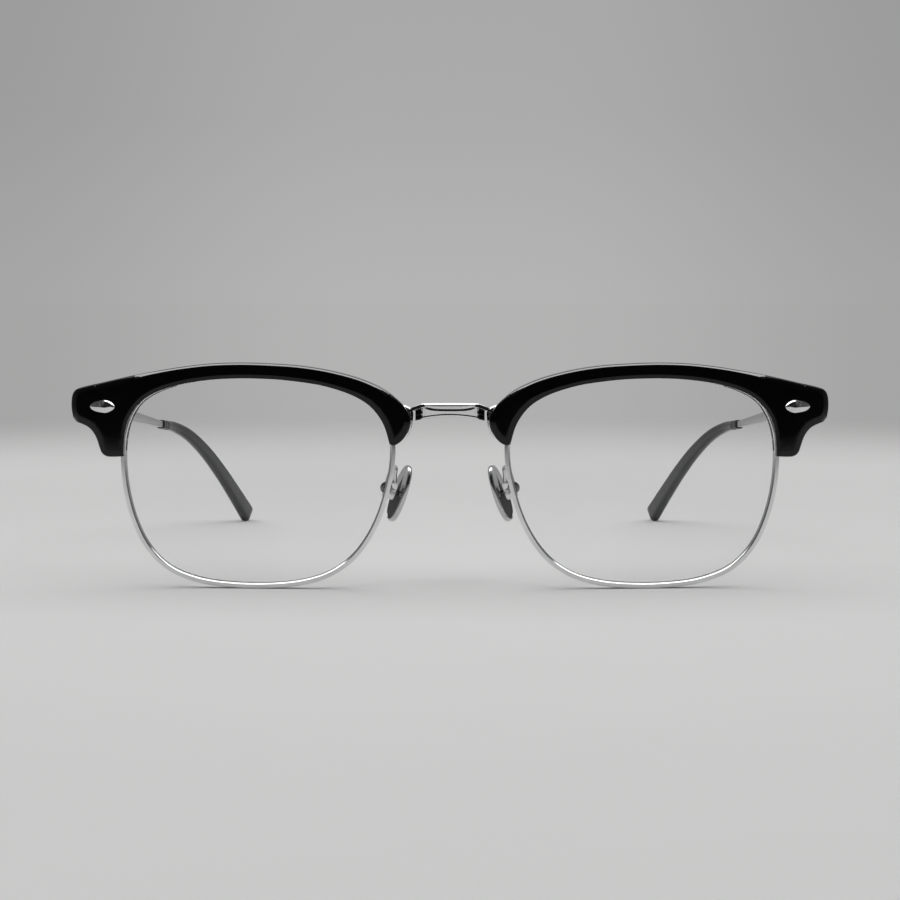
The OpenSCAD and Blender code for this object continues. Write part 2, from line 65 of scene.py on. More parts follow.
def catmull(p, k, closed):
    p = np.asarray(p, float)
    n = len(p)
    q = np.vstack([p[-1], p, p[0], p[1]]) if closed else np.vstack([2 * p[0] - p[1], p, 2 * p[-1] - p[-2]])
    out = []
    for i in range(n if closed else n - 1):
        p0, p1, p2, p3 = q[i], q[i + 1], q[i + 2], q[i + 3]
        t1 = max(np.linalg.norm(p1 - p0), 1e-3) ** 0.5
        t2 = t1 + max(np.linalg.norm(p2 - p1), 1e-3) ** 0.5
        t3 = t2 + max(np.linalg.norm(p3 - p2), 1e-3) ** 0.5
        u = t1 + (t2 - t1) * np.arange(k)[:, None] / k
        a1 = (t1 - u) / t1 * p0 + u / t1 * p1
        a2 = (t2 - u) / (t2 - t1) * p1 + (u - t1) / (t2 - t1) * p2
        a3 = (t3 - u) / (t3 - t2) * p2 + (u - t2) / (t3 - t2) * p3
        b1 = (t2 - u) / t2 * a1 + u / t2 * a2
        b2 = (t3 - u) / (t3 - t1) * a2 + (u - t1) / (t3 - t1) * a3
        out.append((t2 - u) / (t2 - t1) * b1 + (u - t1) / (t2 - t1) * b2)
    out = np.vstack(out)
    return out if closed else np.vstack([out, p[-1]])


def length(p, closed=False):
    q = np.vstack([p, p[:1]]) if closed else p
    return float(np.linalg.norm(np.diff(q, axis=0), axis=1).sum())


def resample(p, n, closed=False):
    p = np.asarray(p, float)
    q = np.vstack([p, p[:1]]) if closed else p
    s = np.r_[0, np.cumsum(np.linalg.norm(np.diff(q, axis=0), axis=1))]
    t = np.linspace(0, s[-1], n, endpoint=not closed)
    return np.stack([np.interp(t, s, q[:, i]) for i in range(q.shape[1])], 1)


def soften(p, sigma, closed=False):
    """Takes the small waves out of evenly spaced points. An open curve keeps its ends."""
    n = len(p)
    if closed:
        d, base, span = p, 0, length(p, True)
    else:
        base = p[0] + (p[-1] - p[0]) * np.linspace(0, 1, n)[:, None]
        d = np.vstack([p - base, -(p - base)[-2:0:-1]])
        span = 2 * length(p)
    f = np.fft.rfft(d, axis=0)
    w = np.exp(-0.5 * (2 * np.pi * np.arange(len(f)) / span * sigma) ** 2)
    w = 1 - (1 - w) ** 2
    back = np.fft.irfft(f * w[:, None], n=len(d), axis=0)
    return back if closed else back[:n] + base


def unit(v):
    return v / np.maximum(np.linalg.norm(v, axis=-1, keepdims=True), 1e-12)


def tangents(p, closed=False):
    if closed:
        return unit(np.roll(p, -1, 0) - np.roll(p, 1, 0))
    t = np.empty_like(p)
    t[1:-1] = p[2:] - p[:-2]
    t[0], t[-1] = p[1] - p[0], p[-1] - p[-2]
    return unit(t)


def rounded(pts, cuts, seg=4):
    """Polygon with each corner cut back by cuts[i] and rounded."""
    pts = np.asarray(pts, float)
    n = len(pts)
    out = []
    for i in range(n):
        c = cuts[i] if hasattr(cuts, "__len__") else cuts
        b, a, d = pts[i], pts[i - 1], pts[(i + 1) % n]
        if c <= 0:
            out.append(b)
            continue
        la, ld = np.linalg.norm(a - b), np.linalg.norm(d - b)
        p = b + (a - b) / la * min(c, 0.48 * la)
        q = b + (d - b) / ld * min(c, 0.48 * ld)
        for t in np.linspace(0, 1, seg + 1):
            out.append((1 - t) ** 2 * p + 2 * t * (1 - t) * b + t * t * q)
    return np.array(out)


def tube(m, n, base=0, loop=False, caps=True):
    faces = []
    for i in range(m if loop else m - 1):
        j = (i + 1) % m
        for k in range(n):
            l = (k + 1) % n
            faces.append((base + i * n + k, base + i * n + l, base + j * n + l, base + j * n + k))
    if caps and not loop:
        faces.append(tuple(base + k for k in range(n - 1, -1, -1)))
        faces.append(tuple(base + (m - 1) * n + k for k in range(n)))
    return faces


class Solid:
    """Vertices and faces of one piece, in drawing millimetres."""

    def __init__(self):
        self.v, self.f, self.m = [], [], []

    def add(self, verts, faces, mat=0):
        base = len(self.v)
        self.v.extend([tuple(map(float, p)) for p in verts])
        self.f.extend([tuple(base + i for i in f) for f in faces])
        self.m.extend([mat] * len(faces) if isinstance(mat, int) else list(mat))
        return self

    def rings(self, rings, loop=False, caps=True, mat=0):
        rings = np.asarray(rings, float)
        m, n = rings.shape[:2]
        return self.add(rings.reshape(-1, 3), tube(m, n, 0, loop, caps), mat)


def build(name, solid, side, mats, body, nodes=(), angle=38, fix=True):
    v = np.array(solid.v, float)
    v[:, 0] *= side
    v[:, 1] -= YM
    v *= 0.001
    faces = solid.f if side > 0 else [tuple(reversed(f)) for f in solid.f]
    me = bpy.data.meshes.new(name)
    me.from_pydata(v.tolist(), [], faces)
    me.polygons.foreach_set("material_index", np.array(solid.m, np.int32))
    bm = bmesh.new()
    bm.from_mesh(me)
    bmesh.ops.remove_doubles(bm, verts=bm.verts, dist=1e-6)
    bmesh.ops.dissolve_degenerate(bm, dist=5e-7, edges=bm.edges)
    if fix:
        bmesh.ops.recalc_face_normals(bm, faces=bm.faces)
    for f in bm.faces:
        f.smooth = True
    bm.to_mesh(me)
    bm.free()
    me.set_sharp_from_angle(angle=math.radians(angle))
    for m in mats if isinstance(mats, (list, tuple)) else [mats]:
        me.materials.append(m)
    ob = bpy.data.objects.new(name, me)
    bpy.context.scene.collection.objects.link(ob)
    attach(ob, body)
    for n in [nodes] if isinstance(nodes, str) else nodes:
        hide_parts(n)
    return ob


SIDES = (("left", 1), ("right", -1))

# ---------------------------------------------------------------------------
# Materials
# ---------------------------------------------------------------------------


def material(name):
    m = bpy.data.materials.new(name)
    m.use_nodes = True
    nt = m.node_tree
    nt.nodes.clear()
    out = nt.nodes.new("ShaderNodeOutputMaterial")
    return m, nt, out


def noise(nt, coord, scale, detail=3.0, rough=0.55, stretch=None):
    src = coord
    if stretch:
        mp = nt.nodes.new("ShaderNodeMapping")
        mp.inputs["Scale"].default_value = stretch
        nt.links.new(coord, mp.inputs["Vector"])
        src = mp.outputs["Vector"]
    t = nt.nodes.new("ShaderNodeTexNoise")
    t.inputs["Scale"].default_value = scale
    t.inputs["Detail"].default_value = detail
    t.inputs["Roughness"].default_value = rough
    nt.links.new(src, t.inputs["Vector"])
    return t.outputs["Fac"]


def ramp(nt, fac, lo, hi, a=0.3, b=0.7):
    r = nt.nodes.new("ShaderNodeMapRange")
    r.inputs["From Min"].default_value = a
    r.inputs["From Max"].default_value = b
    r.inputs["To Min"].default_value = lo
    r.inputs["To Max"].default_value = hi
    nt.links.new(fac, r.inputs["Value"])
    return r.outputs["Result"]


def colour_mix(nt, fac, c0, c1):
    x = nt.nodes.new("ShaderNodeMix")
    x.data_type = "RGBA"
    x.inputs["A"].default_value = (*c0, 1)
    x.inputs["B"].default_value = (*c1, 1)
    nt.links.new(fac, x.inputs["Factor"])
    return x.outputs["Result"]


def bump(nt, height, strength, distance):
    b = nt.nodes.new("ShaderNodeBump")
    b.inputs["Strength"].default_value = strength
    b.inputs["Distance"].default_value = distance
    nt.links.new(height, b.inputs["Height"])
    return b.outputs["Normal"]


def metal(name, c0, c1, r0, r1, grain=2600, bump_mm=0.0006, stretch=None, fine=9000):
    """Polished or satin metal: colour varies a little, and fine rubbing marks vary the gloss."""
    m, nt, out = material(name)
    p = nt.nodes.new("ShaderNodeBsdfPrincipled")
    p.inputs["Metallic"].default_value = 1.0
    tc = nt.nodes.new("ShaderNodeTexCoord").outputs["Object"]
    big = noise(nt, tc, 260, 2)
    small = noise(nt, tc, grain, 4, 0.6, stretch)
    nt.links.new(colour_mix(nt, ramp(nt, big, 0, 1), c0, c1), p.inputs["Base Color"])
    nt.links.new(ramp(nt, small, r0, r1), p.inputs["Roughness"])
    nt.links.new(bump(nt, noise(nt, tc, fine, 2, 0.5, stretch), 0.25, bump_mm * 0.001), p.inputs["Normal"])
    nt.links.new(p.outputs[0], out.inputs["Surface"])
    return m


def plastic(name, c0, c1, r0, r1, level=0.5, ior=1.49, grain=1400, cloud=90, bump_mm=0.0008, coat=0.0):
    """Polished acetate: faint clouding in the colour, and the soft unevenness that buffing leaves."""
    m, nt, out = material(name)
    p = nt.nodes.new("ShaderNodeBsdfPrincipled")
    p.inputs["IOR"].default_value = ior
    p.inputs["Specular IOR Level"].default_value = level
    p.inputs["Coat Weight"].default_value = coat
    p.inputs["Coat IOR"].default_value = 1.75
    p.inputs["Coat Roughness"].default_value = 0.05
    tc = nt.nodes.new("ShaderNodeTexCoord").outputs["Object"]
    big = noise(nt, tc, cloud, 4, 0.6, (1, 1, 2.2))
    nt.links.new(colour_mix(nt, ramp(nt, big, 0, 1), c0, c1), p.inputs["Base Color"])
    nt.links.new(ramp(nt, noise(nt, tc, grain, 3), r0, r1), p.inputs["Roughness"])
    nt.links.new(bump(nt, noise(nt, tc, 420, 1), 0.2, bump_mm * 0.001), p.inputs["Normal"])
    nt.links.new(p.outputs[0], out.inputs["Surface"])
    return m


SILVER = metal("polished_silver", (0.72, 0.72, 0.725), (0.80, 0.80, 0.80), 0.10, 0.17)
BRIDGE_METAL = metal("bridge_silver", (0.74, 0.74, 0.745), (0.81, 0.81, 0.81), 0.06, 0.11)
# darker steel: painted shade on the pad lugs and on the pad wires' solder feet
STEEL_PAINTED_SHADE = metal("stud_steel", (0.17, 0.17, 0.172), (0.23, 0.23, 0.23), 0.14, 0.24, grain=5200, bump_mm=0.001)
SATIN = metal("satin_silver", (0.58, 0.58, 0.585), (0.67, 0.67, 0.67), 0.24, 0.36, grain=5200, bump_mm=0.0015)
SCREW = metal("turned_steel", (0.50, 0.50, 0.51), (0.60, 0.60, 0.61), 0.18, 0.30, grain=4200, bump_mm=0.002)
BAR = metal("temple_silver", (0.36, 0.36, 0.365), (0.42, 0.42, 0.42), 0.22, 0.27, grain=2400, bump_mm=0.0003, stretch=(1, 0.12, 1))
# the tip collars take this dark material; on the rims beside the brows and in the bridge's notches it is painted shade
DARK_AND_SHADE = metal("dark_metal", (0.030, 0.030, 0.032), (0.055, 0.055, 0.058), 0.26, 0.38, grain=4200, bump_mm=0.001)
PAD = metal("pad_titanium", (0.56, 0.56, 0.565), (0.64, 0.64, 0.64), 0.14, 0.22, grain=6000, bump_mm=0.0012)
# painted shade on the nose pads' lower face
PAD_PAINTED_SHADE = metal("pad_face_dark", (0.055, 0.055, 0.056), (0.08, 0.08, 0.08), 0.35, 0.5, grain=6000, bump_mm=0.003)
BLACK = plastic("black_acetate", (0.0010, 0.0010, 0.0011), (0.0024, 0.0024, 0.0026), 0.035, 0.075, level=0.32)
BLACK_EDGE = plastic("black_acetate_edge", (0.0010, 0.0010, 0.0011), (0.0024, 0.0024, 0.0026), 0.05, 0.09, level=1.0, coat=1.0)
GREY = plastic("grey_acetate", (0.030, 0.030, 0.031), (0.046, 0.046, 0.047), 0.10, 0.17, level=0.5, cloud=140)


def lens_material():
    m, nt, out = material("lens_clear")
    tc = nt.nodes.new("ShaderNodeTexCoord").outputs["Object"]
    clear = nt.nodes.new("ShaderNodeBsdfTransparent")
    film = noise(nt, tc, 60, 2)
    nt.links.new(colour_mix(nt, ramp(nt, film, 0, 1), (0.978, 0.980, 0.979), (0.985, 0.986, 0.986)), clear.inputs["Color"])
    gloss = nt.nodes.new("ShaderNodeBsdfGlossy")
    gloss.inputs["Roughness"].default_value = 0.02
    gloss.inputs["Color"].default_value = (0.88, 0.91, 0.90, 1)
    fr = nt.nodes.new("ShaderNodeFresnel")
    fr.inputs["IOR"].default_value = 1.5
    coat = nt.nodes.new("ShaderNodeMath")
    coat.operation = "MULTIPLY"
    coat.inputs[1].default_value = 0.22
    nt.links.new(fr.outputs[0], coat.inputs[0])
    mix = nt.nodes.new("ShaderNodeMixShader")
    nt.links.new(coat.outputs[0], mix.inputs[0])
    nt.links.new(clear.outputs[0], mix.inputs[1])
    nt.links.new(gloss.outputs[0], mix.inputs[2])
    nt.links.new(mix.outputs[0], out.inputs["Surface"])
    return m


LENS = lens_material()

# ---------------------------------------------------------------------------
# Rims and lenses
# ---------------------------------------------------------------------------
RIM_PTS = [
    (61.2, 23.5), (60.7, 18.5), (59.3, 13.0), (56.8, 7.8), (52.8, 3.8), (47.0, 1.5), (40.5, 0.65),
    (34.0, 0.58), (28.0, 1.15), (22.6, 2.75), (18.3, 5.7), (15.2, 9.7), (13.1, 14.0), (11.7, 18.6),
    (10.8, 23.2), (10.8, 27.6), (12.4, 32.0), (16.0, 35.6), (21.0, 37.75), (27.5, 39.1), (34.5, 39.7),
    (41.5, 39.7), (48.0, 38.95), (53.8, 37.4), (58.0, 34.9), (60.3, 31.0), (61.1, 27.3),
]
NR = 760
rim_mid = soften(resample(catmull(RIM_PTS, 12, True), NR, True), 1.5, True)
rim_t = tangents(rim_mid, True)
rim_n = np.stack([-rim_t[:, 1], rim_t[:, 0]], 1)
LOCK_Z = 27.7


def rim_offset(u):
    return rim_mid + u * rim_n


def rim_solid():
    # starts just under the cut at the temporal side and runs down and round to just above it
    cross = [i for i in range(NR) if rim_mid[i, 0] > 55 and rim_mid[i, 1] > LOCK_Z - 0.05 >= rim_mid[(i + 1) % NR, 1]][0] + 1
    order = [(cross + i) % NR for i in range(NR)]
    keep = [i for i in order if not (rim_mid[i, 0] > 55 and abs(rim_mid[i, 1] - LOCK_Z) < 0.05)]
    pts, nrm = rim_mid[keep], rim_n[keep]
    hw, hd = 0.525, 1.0
    corner = [
        (-hw, 0.43), (-hw, hd - 0.34), (-hw + 0.30, hd), (hw, hd), (hw, -hd), (-hw, -hd), (-hw, -0.43), (-0.02, -0.30), (-0.02, 0.30),
    ]
    sec = rounded(corner, [0.03, 0.05, 0.05, 0.15, 0.17, 0.15, 0.03, 0.04, 0.04], 4)
    mid = (sec + np.roll(sec, -1, 0)) / 2
    k = int(np.argmin(np.linalg.norm(mid - (-hw + 0.15, hd - 0.17), axis=1)))
    sec = np.insert(sec, k + 1, sec[k] + 0.36 * (sec[k + 1] - sec[k]), 0)
    rings = []
    for p, n in zip(pts, nrm):
        a = p[0] + sec[:, 0] * n[0]
        z = p[1] + sec[:, 0] * n[1]
        rings.append(np.stack([a, ys(a, z, sec[:, 1]), z], 1))
    s = Solid().rings(rings)
    # beside the brow's leg the wall that faces the lens and its front edge take the dark material: painted shade where
    # the brow shades them
    m = len(sec)
    mid = (sec + np.roll(sec, -1, 0)) / 2
    wall = (mid[:, 0] < 0.05) & (np.abs(mid[:, 1]) < 0.62) | (mid[:, 0] < -hw + 0.05) & (mid[:, 1] < 0) & (mid[:, 1] > -0.95)
    wall |= (mid[:, 0] < -hw + 0.08) & (mid[:, 1] > 0.4) & (mid[:, 1] < 0.85)
    shade_span = (pts[:, 0] > 51) & (pts[:, 1] > 25.6)
    for i in range(len(rings) - 1):
        if shade_span[i] and shade_span[i + 1]:
            for k in np.where(wall)[0]:
                s.m[i * m + int(k)] = 1
    return s


def lens_solid():
    u = -0.535
    edge = rim_offset(u)
    out = rim_offset(-0.06)
    c = np.array([36.0, 20.5])
    prof = []
    fr = [0.0, 0.22, 0.42, 0.60, 0.75, 0.87, 0.95, 0.985, 1.0]
    s = Solid()
    sel = slice(None, None, 2)
    e, o = edge[sel], out[sel]
    n = len(e)
    rings = []
    for t in fr[1:]:
        p = c + (e - c) * t
        rings.append(np.stack([p[:, 0], ys(p[:, 0], p[:, 1], 0.90 if t < 1 else 0.87), p[:, 1]], 1))
    rings.append(np.stack([e[:, 0], ys(e[:, 0], e[:, 1], 0.36), e[:, 1]], 1))
    rings.append(np.stack([o[:, 0], ys(o[:, 0], o[:, 1], 0.10), o[:, 1]], 1))
    rings.append(np.stack([o[:, 0], ys(o[:, 0], o[:, 1], -0.10), o[:, 1]], 1))
    rings.append(np.stack([e[:, 0], ys(e[:, 0], e[:, 1], -0.36), e[:, 1]], 1))
    for t in fr[:0:-1]:
        p = c + (e - c) * t
        rings.append(np.stack([p[:, 0], ys(p[:, 0], p[:, 1], -0.90 if t < 1 else -0.87), p[:, 1]], 1))
    m = len(rings)
    verts = np.vstack(rings + [[[c[0], ys(c[0], c[1], 0.9), c[1]]], [[c[0], ys(c[0], c[1], -0.9), c[1]]]])
    faces = tube(m, n, 0, False, False)
    f0, f1 = m * n, m * n + 1
    for k in range(n):
        l = (k + 1) % n
        faces.append((f0, l, k))
        faces.append((f1, (m - 1) * n + k, (m - 1) * n + l))
    return s.add(verts, faces)


# ---------------------------------------------------------------------------
# Plates cut from the sphere's shell: the brows
# ---------------------------------------------------------------------------


def seg_dist(q, poly):
    """Distance of points q to a closed polygon, and the nearest place along it as index and share."""
    a, b = poly, np.roll(poly, -1, 0)
    d = b - a
    l2 = np.maximum((d**2).sum(1), 1e-12)
    best = np.full(len(q), 1e9)
    idx = np.zeros(len(q), int)
    for s in range(0, len(q), 2000):
        p = q[s : s + 2000]
        t = np.clip((((p[:, None] - a[None]) * d[None]).sum(2)) / l2, 0, 1)
        e = np.linalg.norm(p[:, None] - (a[None] + t[..., None] * d[None]), axis=2)
        k = e.argmin(1)
        best[s : s + 2000] = e[np.arange(len(p)), k]
        idx[s : s + 2000] = k
    return best, idx


def inside(q, poly):
    x, y = q[:, 0][:, None], q[:, 1][:, None]
    a, b = poly, np.roll(poly, -1, 0)
    cond = (a[:, 1] > y) != (b[:, 1] > y)
    xs = (b[:, 0] - a[:, 0]) * (y - a[:, 1]) / np.where(np.abs(b[:, 1] - a[:, 1]) < 1e-12, 1e-12, b[:, 1] - a[:, 1]) + a[:, 0]
    return (cond & (x < xs)).sum(1) % 2 == 1


def plate_solid(outline, front, back_of, regions, lines, ring_d, grid=1.3, eps=1e-5, skin=None):
    """A plate whose outline runs straight through in depth. front(p, d) and back_of(region)(p, d) give the
    depth; regions(p) names the region of each triangle; lines are the borders between regions."""
    o = np.asarray(outline, float)
    if (o[:, 0] * np.roll(o[:, 1], -1) - np.roll(o[:, 0], -1) * o[:, 1]).sum() < 0:
        o = o[::-1]
    n = len(o)
    t = unit(np.roll(o, -1, 0) - np.roll(o, 1, 0))
    inward = np.stack([-t[:, 1], t[:, 0]], 1)
    pts = [o]
    for d in ring_d:
        q = o + inward * (d if np.ndim(d) == 0 else d[:, None])
        dist, _ = seg_dist(q, o)
        want = d if np.ndim(d) == 0 else d
        pts.append(q[(dist > want * 0.97 - 1e-6) & inside(q, o)])
    lo, hi = o.min(0), o.max(0)
    gx, gz = np.meshgrid(np.arange(lo[0], hi[0], grid), np.arange(lo[1], hi[1], grid))
    g = np.stack([gx.ravel() + (np.arange(gx.size) // gx.shape[1] % 2) * grid / 2, gz.ravel()], 1)
    last = ring_d[-1] if np.ndim(ring_d[-1]) == 0 else float(np.max(ring_d[-1]))
    dist, _ = seg_dist(g, o)
    pts.append(g[inside(g, o) & (dist > last + 0.45 * grid)])
    all_pts = [Vector((float(x), float(y))) for p in pts for x, y in p]
    edges = [(i, (i + 1) % n) for i in range(n)]
    for line, closed in lines:
        base = len(all_pts)
        all_pts += [Vector((float(x), float(y))) for x, y in line]
        k = len(line)
        edges += [(base + i, base + (i + 1) % k) for i in range(k if closed else k - 1)]
    vv, _, ff, _, _, _ = delaunay_2d_cdt(all_pts, edges, [], 0, eps)
    v = np.array([[p.x, p.y] for p in vv])
    tri = np.array([f for f in ff if len(f) == 3], int)
    cen = v[tri].mean(1)
    tri = tri[inside(cen, o)]
    area = 0.5 * np.cross(v[tri[:, 1]] - v[tri[:, 0]], v[tri[:, 2]] - v[tri[:, 0]])
    tri = np.where((area < 0)[:, None], tri[:, ::-1], tri)
    tri = tri[np.abs(area) > 1e-9]
    used = np.unique(tri)
    remap = -np.ones(len(v), int)
    remap[used] = np.arange(len(used))
    v, tri = v[used], remap[tri]
    d, near = seg_dist(v, o)
    yf = front(v, d, near, o)
    reg = regions(v[tri].mean(1))
    s = Solid()
    verts = [np.stack([v[:, 0], yf, v[:, 1]], 1)]
    base = {}
    count = len(v)
    yb = {}
    for r in np.unique(reg):
        base[r] = count
        yb[r] = back_of(r)(v, d, near, o)
        verts.append(np.stack([v[:, 0], yb[r], v[:, 1]], 1))
        count += len(v)
    faces = [tuple(f) for f in tri]
    mats = [0] * len(faces)
    if skin is not None:
        cd, cn = seg_dist(v[tri].mean(1), o)
        mats = [int(k) for k in skin(cd, cn)]
    for f, r in zip(tri, reg):
        b = base[r]
        faces.append((b + f[2], b + f[1], b + f[0]))
    depth = np.concatenate([yf] + [yb[r] for r in np.unique(reg)])
    level = {}
    for f, r in zip(tri, reg):
        for i in f:
            level.setdefault(i, {})[r] = base[r] + i

    def between(i, a, b):
        lo, hi = sorted((depth[a], depth[b]))
        mid = [k for k in level[i].values() if lo + 1e-5 < depth[k] < hi - 1e-5]
        return sorted(set(mid), key=lambda k: depth[k], reverse=bool(depth[a] > depth[b]))

    edge = {}
    for k, f in enumerate(tri):
        for i in range(3):
            edge[(f[i], f[(i + 1) % 3])] = k
    for (i, j), k in edge.items():
        r = reg[k]
        other = edge.get((j, i))
        bi, bj = base[r] + i, base[r] + j
        if other is None:
            faces.append((i, *between(i, i, bi), bi, bj, *between(j, bj, j), j))
        elif reg[other] != r:
            q = reg[other]
            if yb[r][i] + yb[r][j] > yb[q][i] + yb[q][j]:
                qi, qj = base[q] + i, base[q] + j
                faces.append((qi, *between(i, qi, bi), bi, bj, *between(j, bj, qj), qj))
    keep = np.zeros(count, bool)
    for f in faces:
        keep[list(f)] = True
    idx = -np.ones(count, int)
    idx[keep] = np.arange(keep.sum())
    vs = np.vstack(verts)[keep]
    mats += [0] * (len(faces) - len(mats))
    s.add(vs, [tuple(int(idx[i]) for i in f) for f in faces], mats)
    return s


def edge_round(d, rho):
    """How far a surface drops back at distance d from an edge rounded with radius rho."""
    x = np.clip(rho - d, 0, rho)
    return rho - np.sqrt(np.maximum(rho * rho - x * x, 0))


def bevel_drop(d, w, h, eps=0.05):
    x = h * (1 - d / w)
    return 0.5 * (x + np.sqrt(x * x + eps * eps))


BROW_TOP = [
    (70.8, 31.8), (71.1, 33.2), (71.1, 35.5), (70.6, 36.8), (69.4, 37.4), (65.6, 38.3), (61.8, 39.2),
    (57.9, 40.05), (54.1, 40.75), (50.2, 41.4), (44.6, 42.05), (38.9, 42.25), (33.4, 42.1), (27.8, 41.7),
    (22.2, 40.8), (16.7, 39.3), (13.0, 37.7), (11.1, 36.5), (9.3, 35.0), (8.2, 33.7), (7.4, 32.2),
    (7.3, 31.2), (7.8, 29.6), (8.5, 28.3), (9.3, 27.5), (10.2, 27.0), (10.8, 26.9), (11.2, 27.2),
]
BROW_INNER = [
    (11.4, 27.9), (12.1, 30.3), (13.0, 32.0), (14.8, 34.2), (16.7, 35.5), (18.5, 36.4), (20.4, 37.1),
    (24.0, 38.1), (27.8, 38.7), (31.4, 39.1), (35.2, 39.3), (38.9, 39.35), (42.7, 39.2), (46.5, 38.8),
    (50.2, 38.15), (54.0, 37.0), (55.9, 36.1), (57.8, 34.7), (59.5, 32.5), (60.1, 31.3), (60.75, 28.5),
    (60.9, 26.2), (61.0, 24.7),
]
BROW_LEG = [
    (62.5, 24.6), (64.2, 24.65), (65.1, 25.2), (65.5, 26.0), (66.2, 28.0), (67.0, 29.3), (67.9, 30.1),
    (69.0, 30.6), (70.1, 31.0),
]


def brow_solid():
    step = 0.4
    end_piece = catmull(BROW_TOP[:7], 10, False)
    top = catmull(BROW_TOP, 10, False)
    inner = catmull(BROW_INNER, 10, False)
    leg = catmull(BROW_LEG, 10, False)
    top = resample(top, int(length(top) / step), False)
    inner = resample(inner, int(length(inner) / step), False)
    leg = resample(leg, int(length(leg) / step), False)
    top, inner, leg = soften(top, 0.55), soften(inner, 1.2), soften(leg, 0.35)
    o = np.vstack([top, inner, leg])
    nt, ni = len(top), len(inner)
    # bevel width and depth along the outline: narrow and steep on top, wide and shallow elsewhere
    kind = np.zeros(len(o))
    a = o[:, 0]
    ramp_out = np.clip((62.0 - a) / 7.0, 0, 1)
    ramp_in = np.clip((a - 9.0) / 5.0, 0, 1)
    kind[:nt] = (ramp_out * ramp_in)[:nt] * (o[:nt, 1] > 33)
    kind = np.convolve(np.r_[kind[-6:], kind, kind[:6]], np.ones(13) / 13, "valid")
    width = 1.10 - 0.69 * kind
    depth = 0.38 - 0.015 * kind
    lens_side = np.zeros(len(o))
    lens_side[nt : nt + ni] = np.clip((o[nt : nt + ni, 0] - 13.0) / 6.0, 0, 1)
    lens_side = np.convolve(np.r_[lens_side[-8:], lens_side, lens_side[:8]], np.ones(17) / 17, "valid")
    width -= 0.46 * lens_side
    depth -= 0.12 * lens_side
    if (o[:, 0] * np.roll(o[:, 1], -1) - np.roll(o[:, 0], -1) * o[:, 1]).sum() < 0:
        o, width, depth, kind = o[::-1], width[::-1], depth[::-1], kind[::-1]
    rho = 0.17
    seat = 1.05
    ro = rim_offset(0.525 + 0.05)

    def front(v, d, near, oo):
        return ys(v[:, 0], v[:, 1], 3.2 - bevel_drop(d, width[near], depth[near]) - edge_round(d, rho))

    def rect(x0, z0, x1, z1):
        k = 12
        p = [(x0, z0), (x1, z0), (x1, z1), (x0, z1)]
        out = []
        for i in range(4):
            s, e = np.array(p[i]), np.array(p[(i + 1) % 4])
            for t in np.arange(k) / k:
                out.append(tuple(s + (e - s) * t))
        return np.array(out)

    boxes = {
        "nasal": (4.0, 24.0, 12.6, 36.0),
        "lock": (60.5, 24.0, 64.4, 29.7),
        "hinge": (62.3, 31.4, 66.9, 37.0),
        "stop": (66.6, 20.0, 75.0, 45.0),
    }

    def regions(c):
        r = np.zeros(len(c), int)
        def inbox(b):
            return (c[:, 0] > b[0]) & (c[:, 0] < b[2]) & (c[:, 1] > b[1]) & (c[:, 1] < b[3])
        seated = inside(c, ro) | inbox(boxes["nasal"]) | inbox(boxes["lock"])
        r[seated] = 1
        r[inbox(boxes["stop"])] = 3
        r[inbox(boxes["hinge"])] = 2
        return r

    def back_of(r):
        def f(v, d, near, oo):
            plain = ys(v[:, 0], v[:, 1], -1.4 + edge_round(d, 0.28))
            if r == 0:
                return plain
            if r == 1:
                return ys(v[:, 0], v[:, 1], seat)
            if r == 2:
                return np.minimum(plain, 6.8)
            return np.minimum(plain, 8.2)
        return f

    rings = [0.012, 0.045, 0.10, rho, width * 0.5, width - 0.14, width, width + 0.12, width + 0.45]
    lines = [(ro, True)] + [(rect(*b), True) for b in boxes.values()]
    def skin(d, near):
        return (kind[near] > 0.45) & (d < width[near])

    return plate_solid(o, front, back_of, regions, lines, rings, 1.3, skin=skin), o


BROW, BROW_OUT = brow_solid()

for word, s in SIDES:
    build(f"eyewire_{word}", rim_solid(), s, (SILVER, DARK_AND_SHADE), "front", f"rim_{word}", 42)
    build(f"lens_body_{word}", lens_solid(), s, LENS, "front", f"lens_{word}", 30)
    build(f"brow_trim_{word}", BROW, s, (BLACK, BLACK_EDGE), "front", f"brow_{word}", 40, fix=False)

# ---------------------------------------------------------------------------
# Bridge
# ---------------------------------------------------------------------------


def bridge_solid():
    """One bar lofted from side to side: chamfer on top, a hollowed front, a lip along the arch."""
    s = Solid()
    xs = np.linspace(-5.08, 5.08, 61)
    rings = []
    for x in xs:
        t = abs(x) / 5.08
        f = -0.2 + 0.10 * min(1, t * 2) + 0.34 * max(0, t - 0.5) * 2 * t
        b = 1.7 + 0.4 * t**2
        top = 34.70 - 0.10 * t**4
        mid = 33.44 + 0.62 * t**3.6
        low = 32.64 - 0.52 * t**2
        bot = 32.06 - 0.31 * t**2
        half = min(0.17, (top - 0.50 - mid) * 0.40)
        sec = [
            (b - 0.20, top), (f + 0.30, top), (f + 0.10, top - 0.20), (f + 0.03, top - 0.27),
            (f + 0.0, max(top - 0.50, mid + half + 0.06)), (f + 0.045, mid + half + 0.03), (f + 0.16, mid + half - 0.02),
            (f + 0.02, mid - half),
            (f + 0.0, mid - half - 0.07), (f + 0.03, low + 0.15), (f + 0.075, low + 0.09),
            (f - 0.0, low - 0.08), (f - 0.02, low - 0.14), (f + 0.02, bot + 0.16), (f + 0.16, bot),
            (b - 0.20, bot), (b - 0.04, bot + 0.06), (b, bot + 0.22), (b, top - 0.22), (b - 0.04, top - 0.06),
        ]
        rings.append([(x, y, z) for y, z in sec])
    s.rings(rings)
    return s


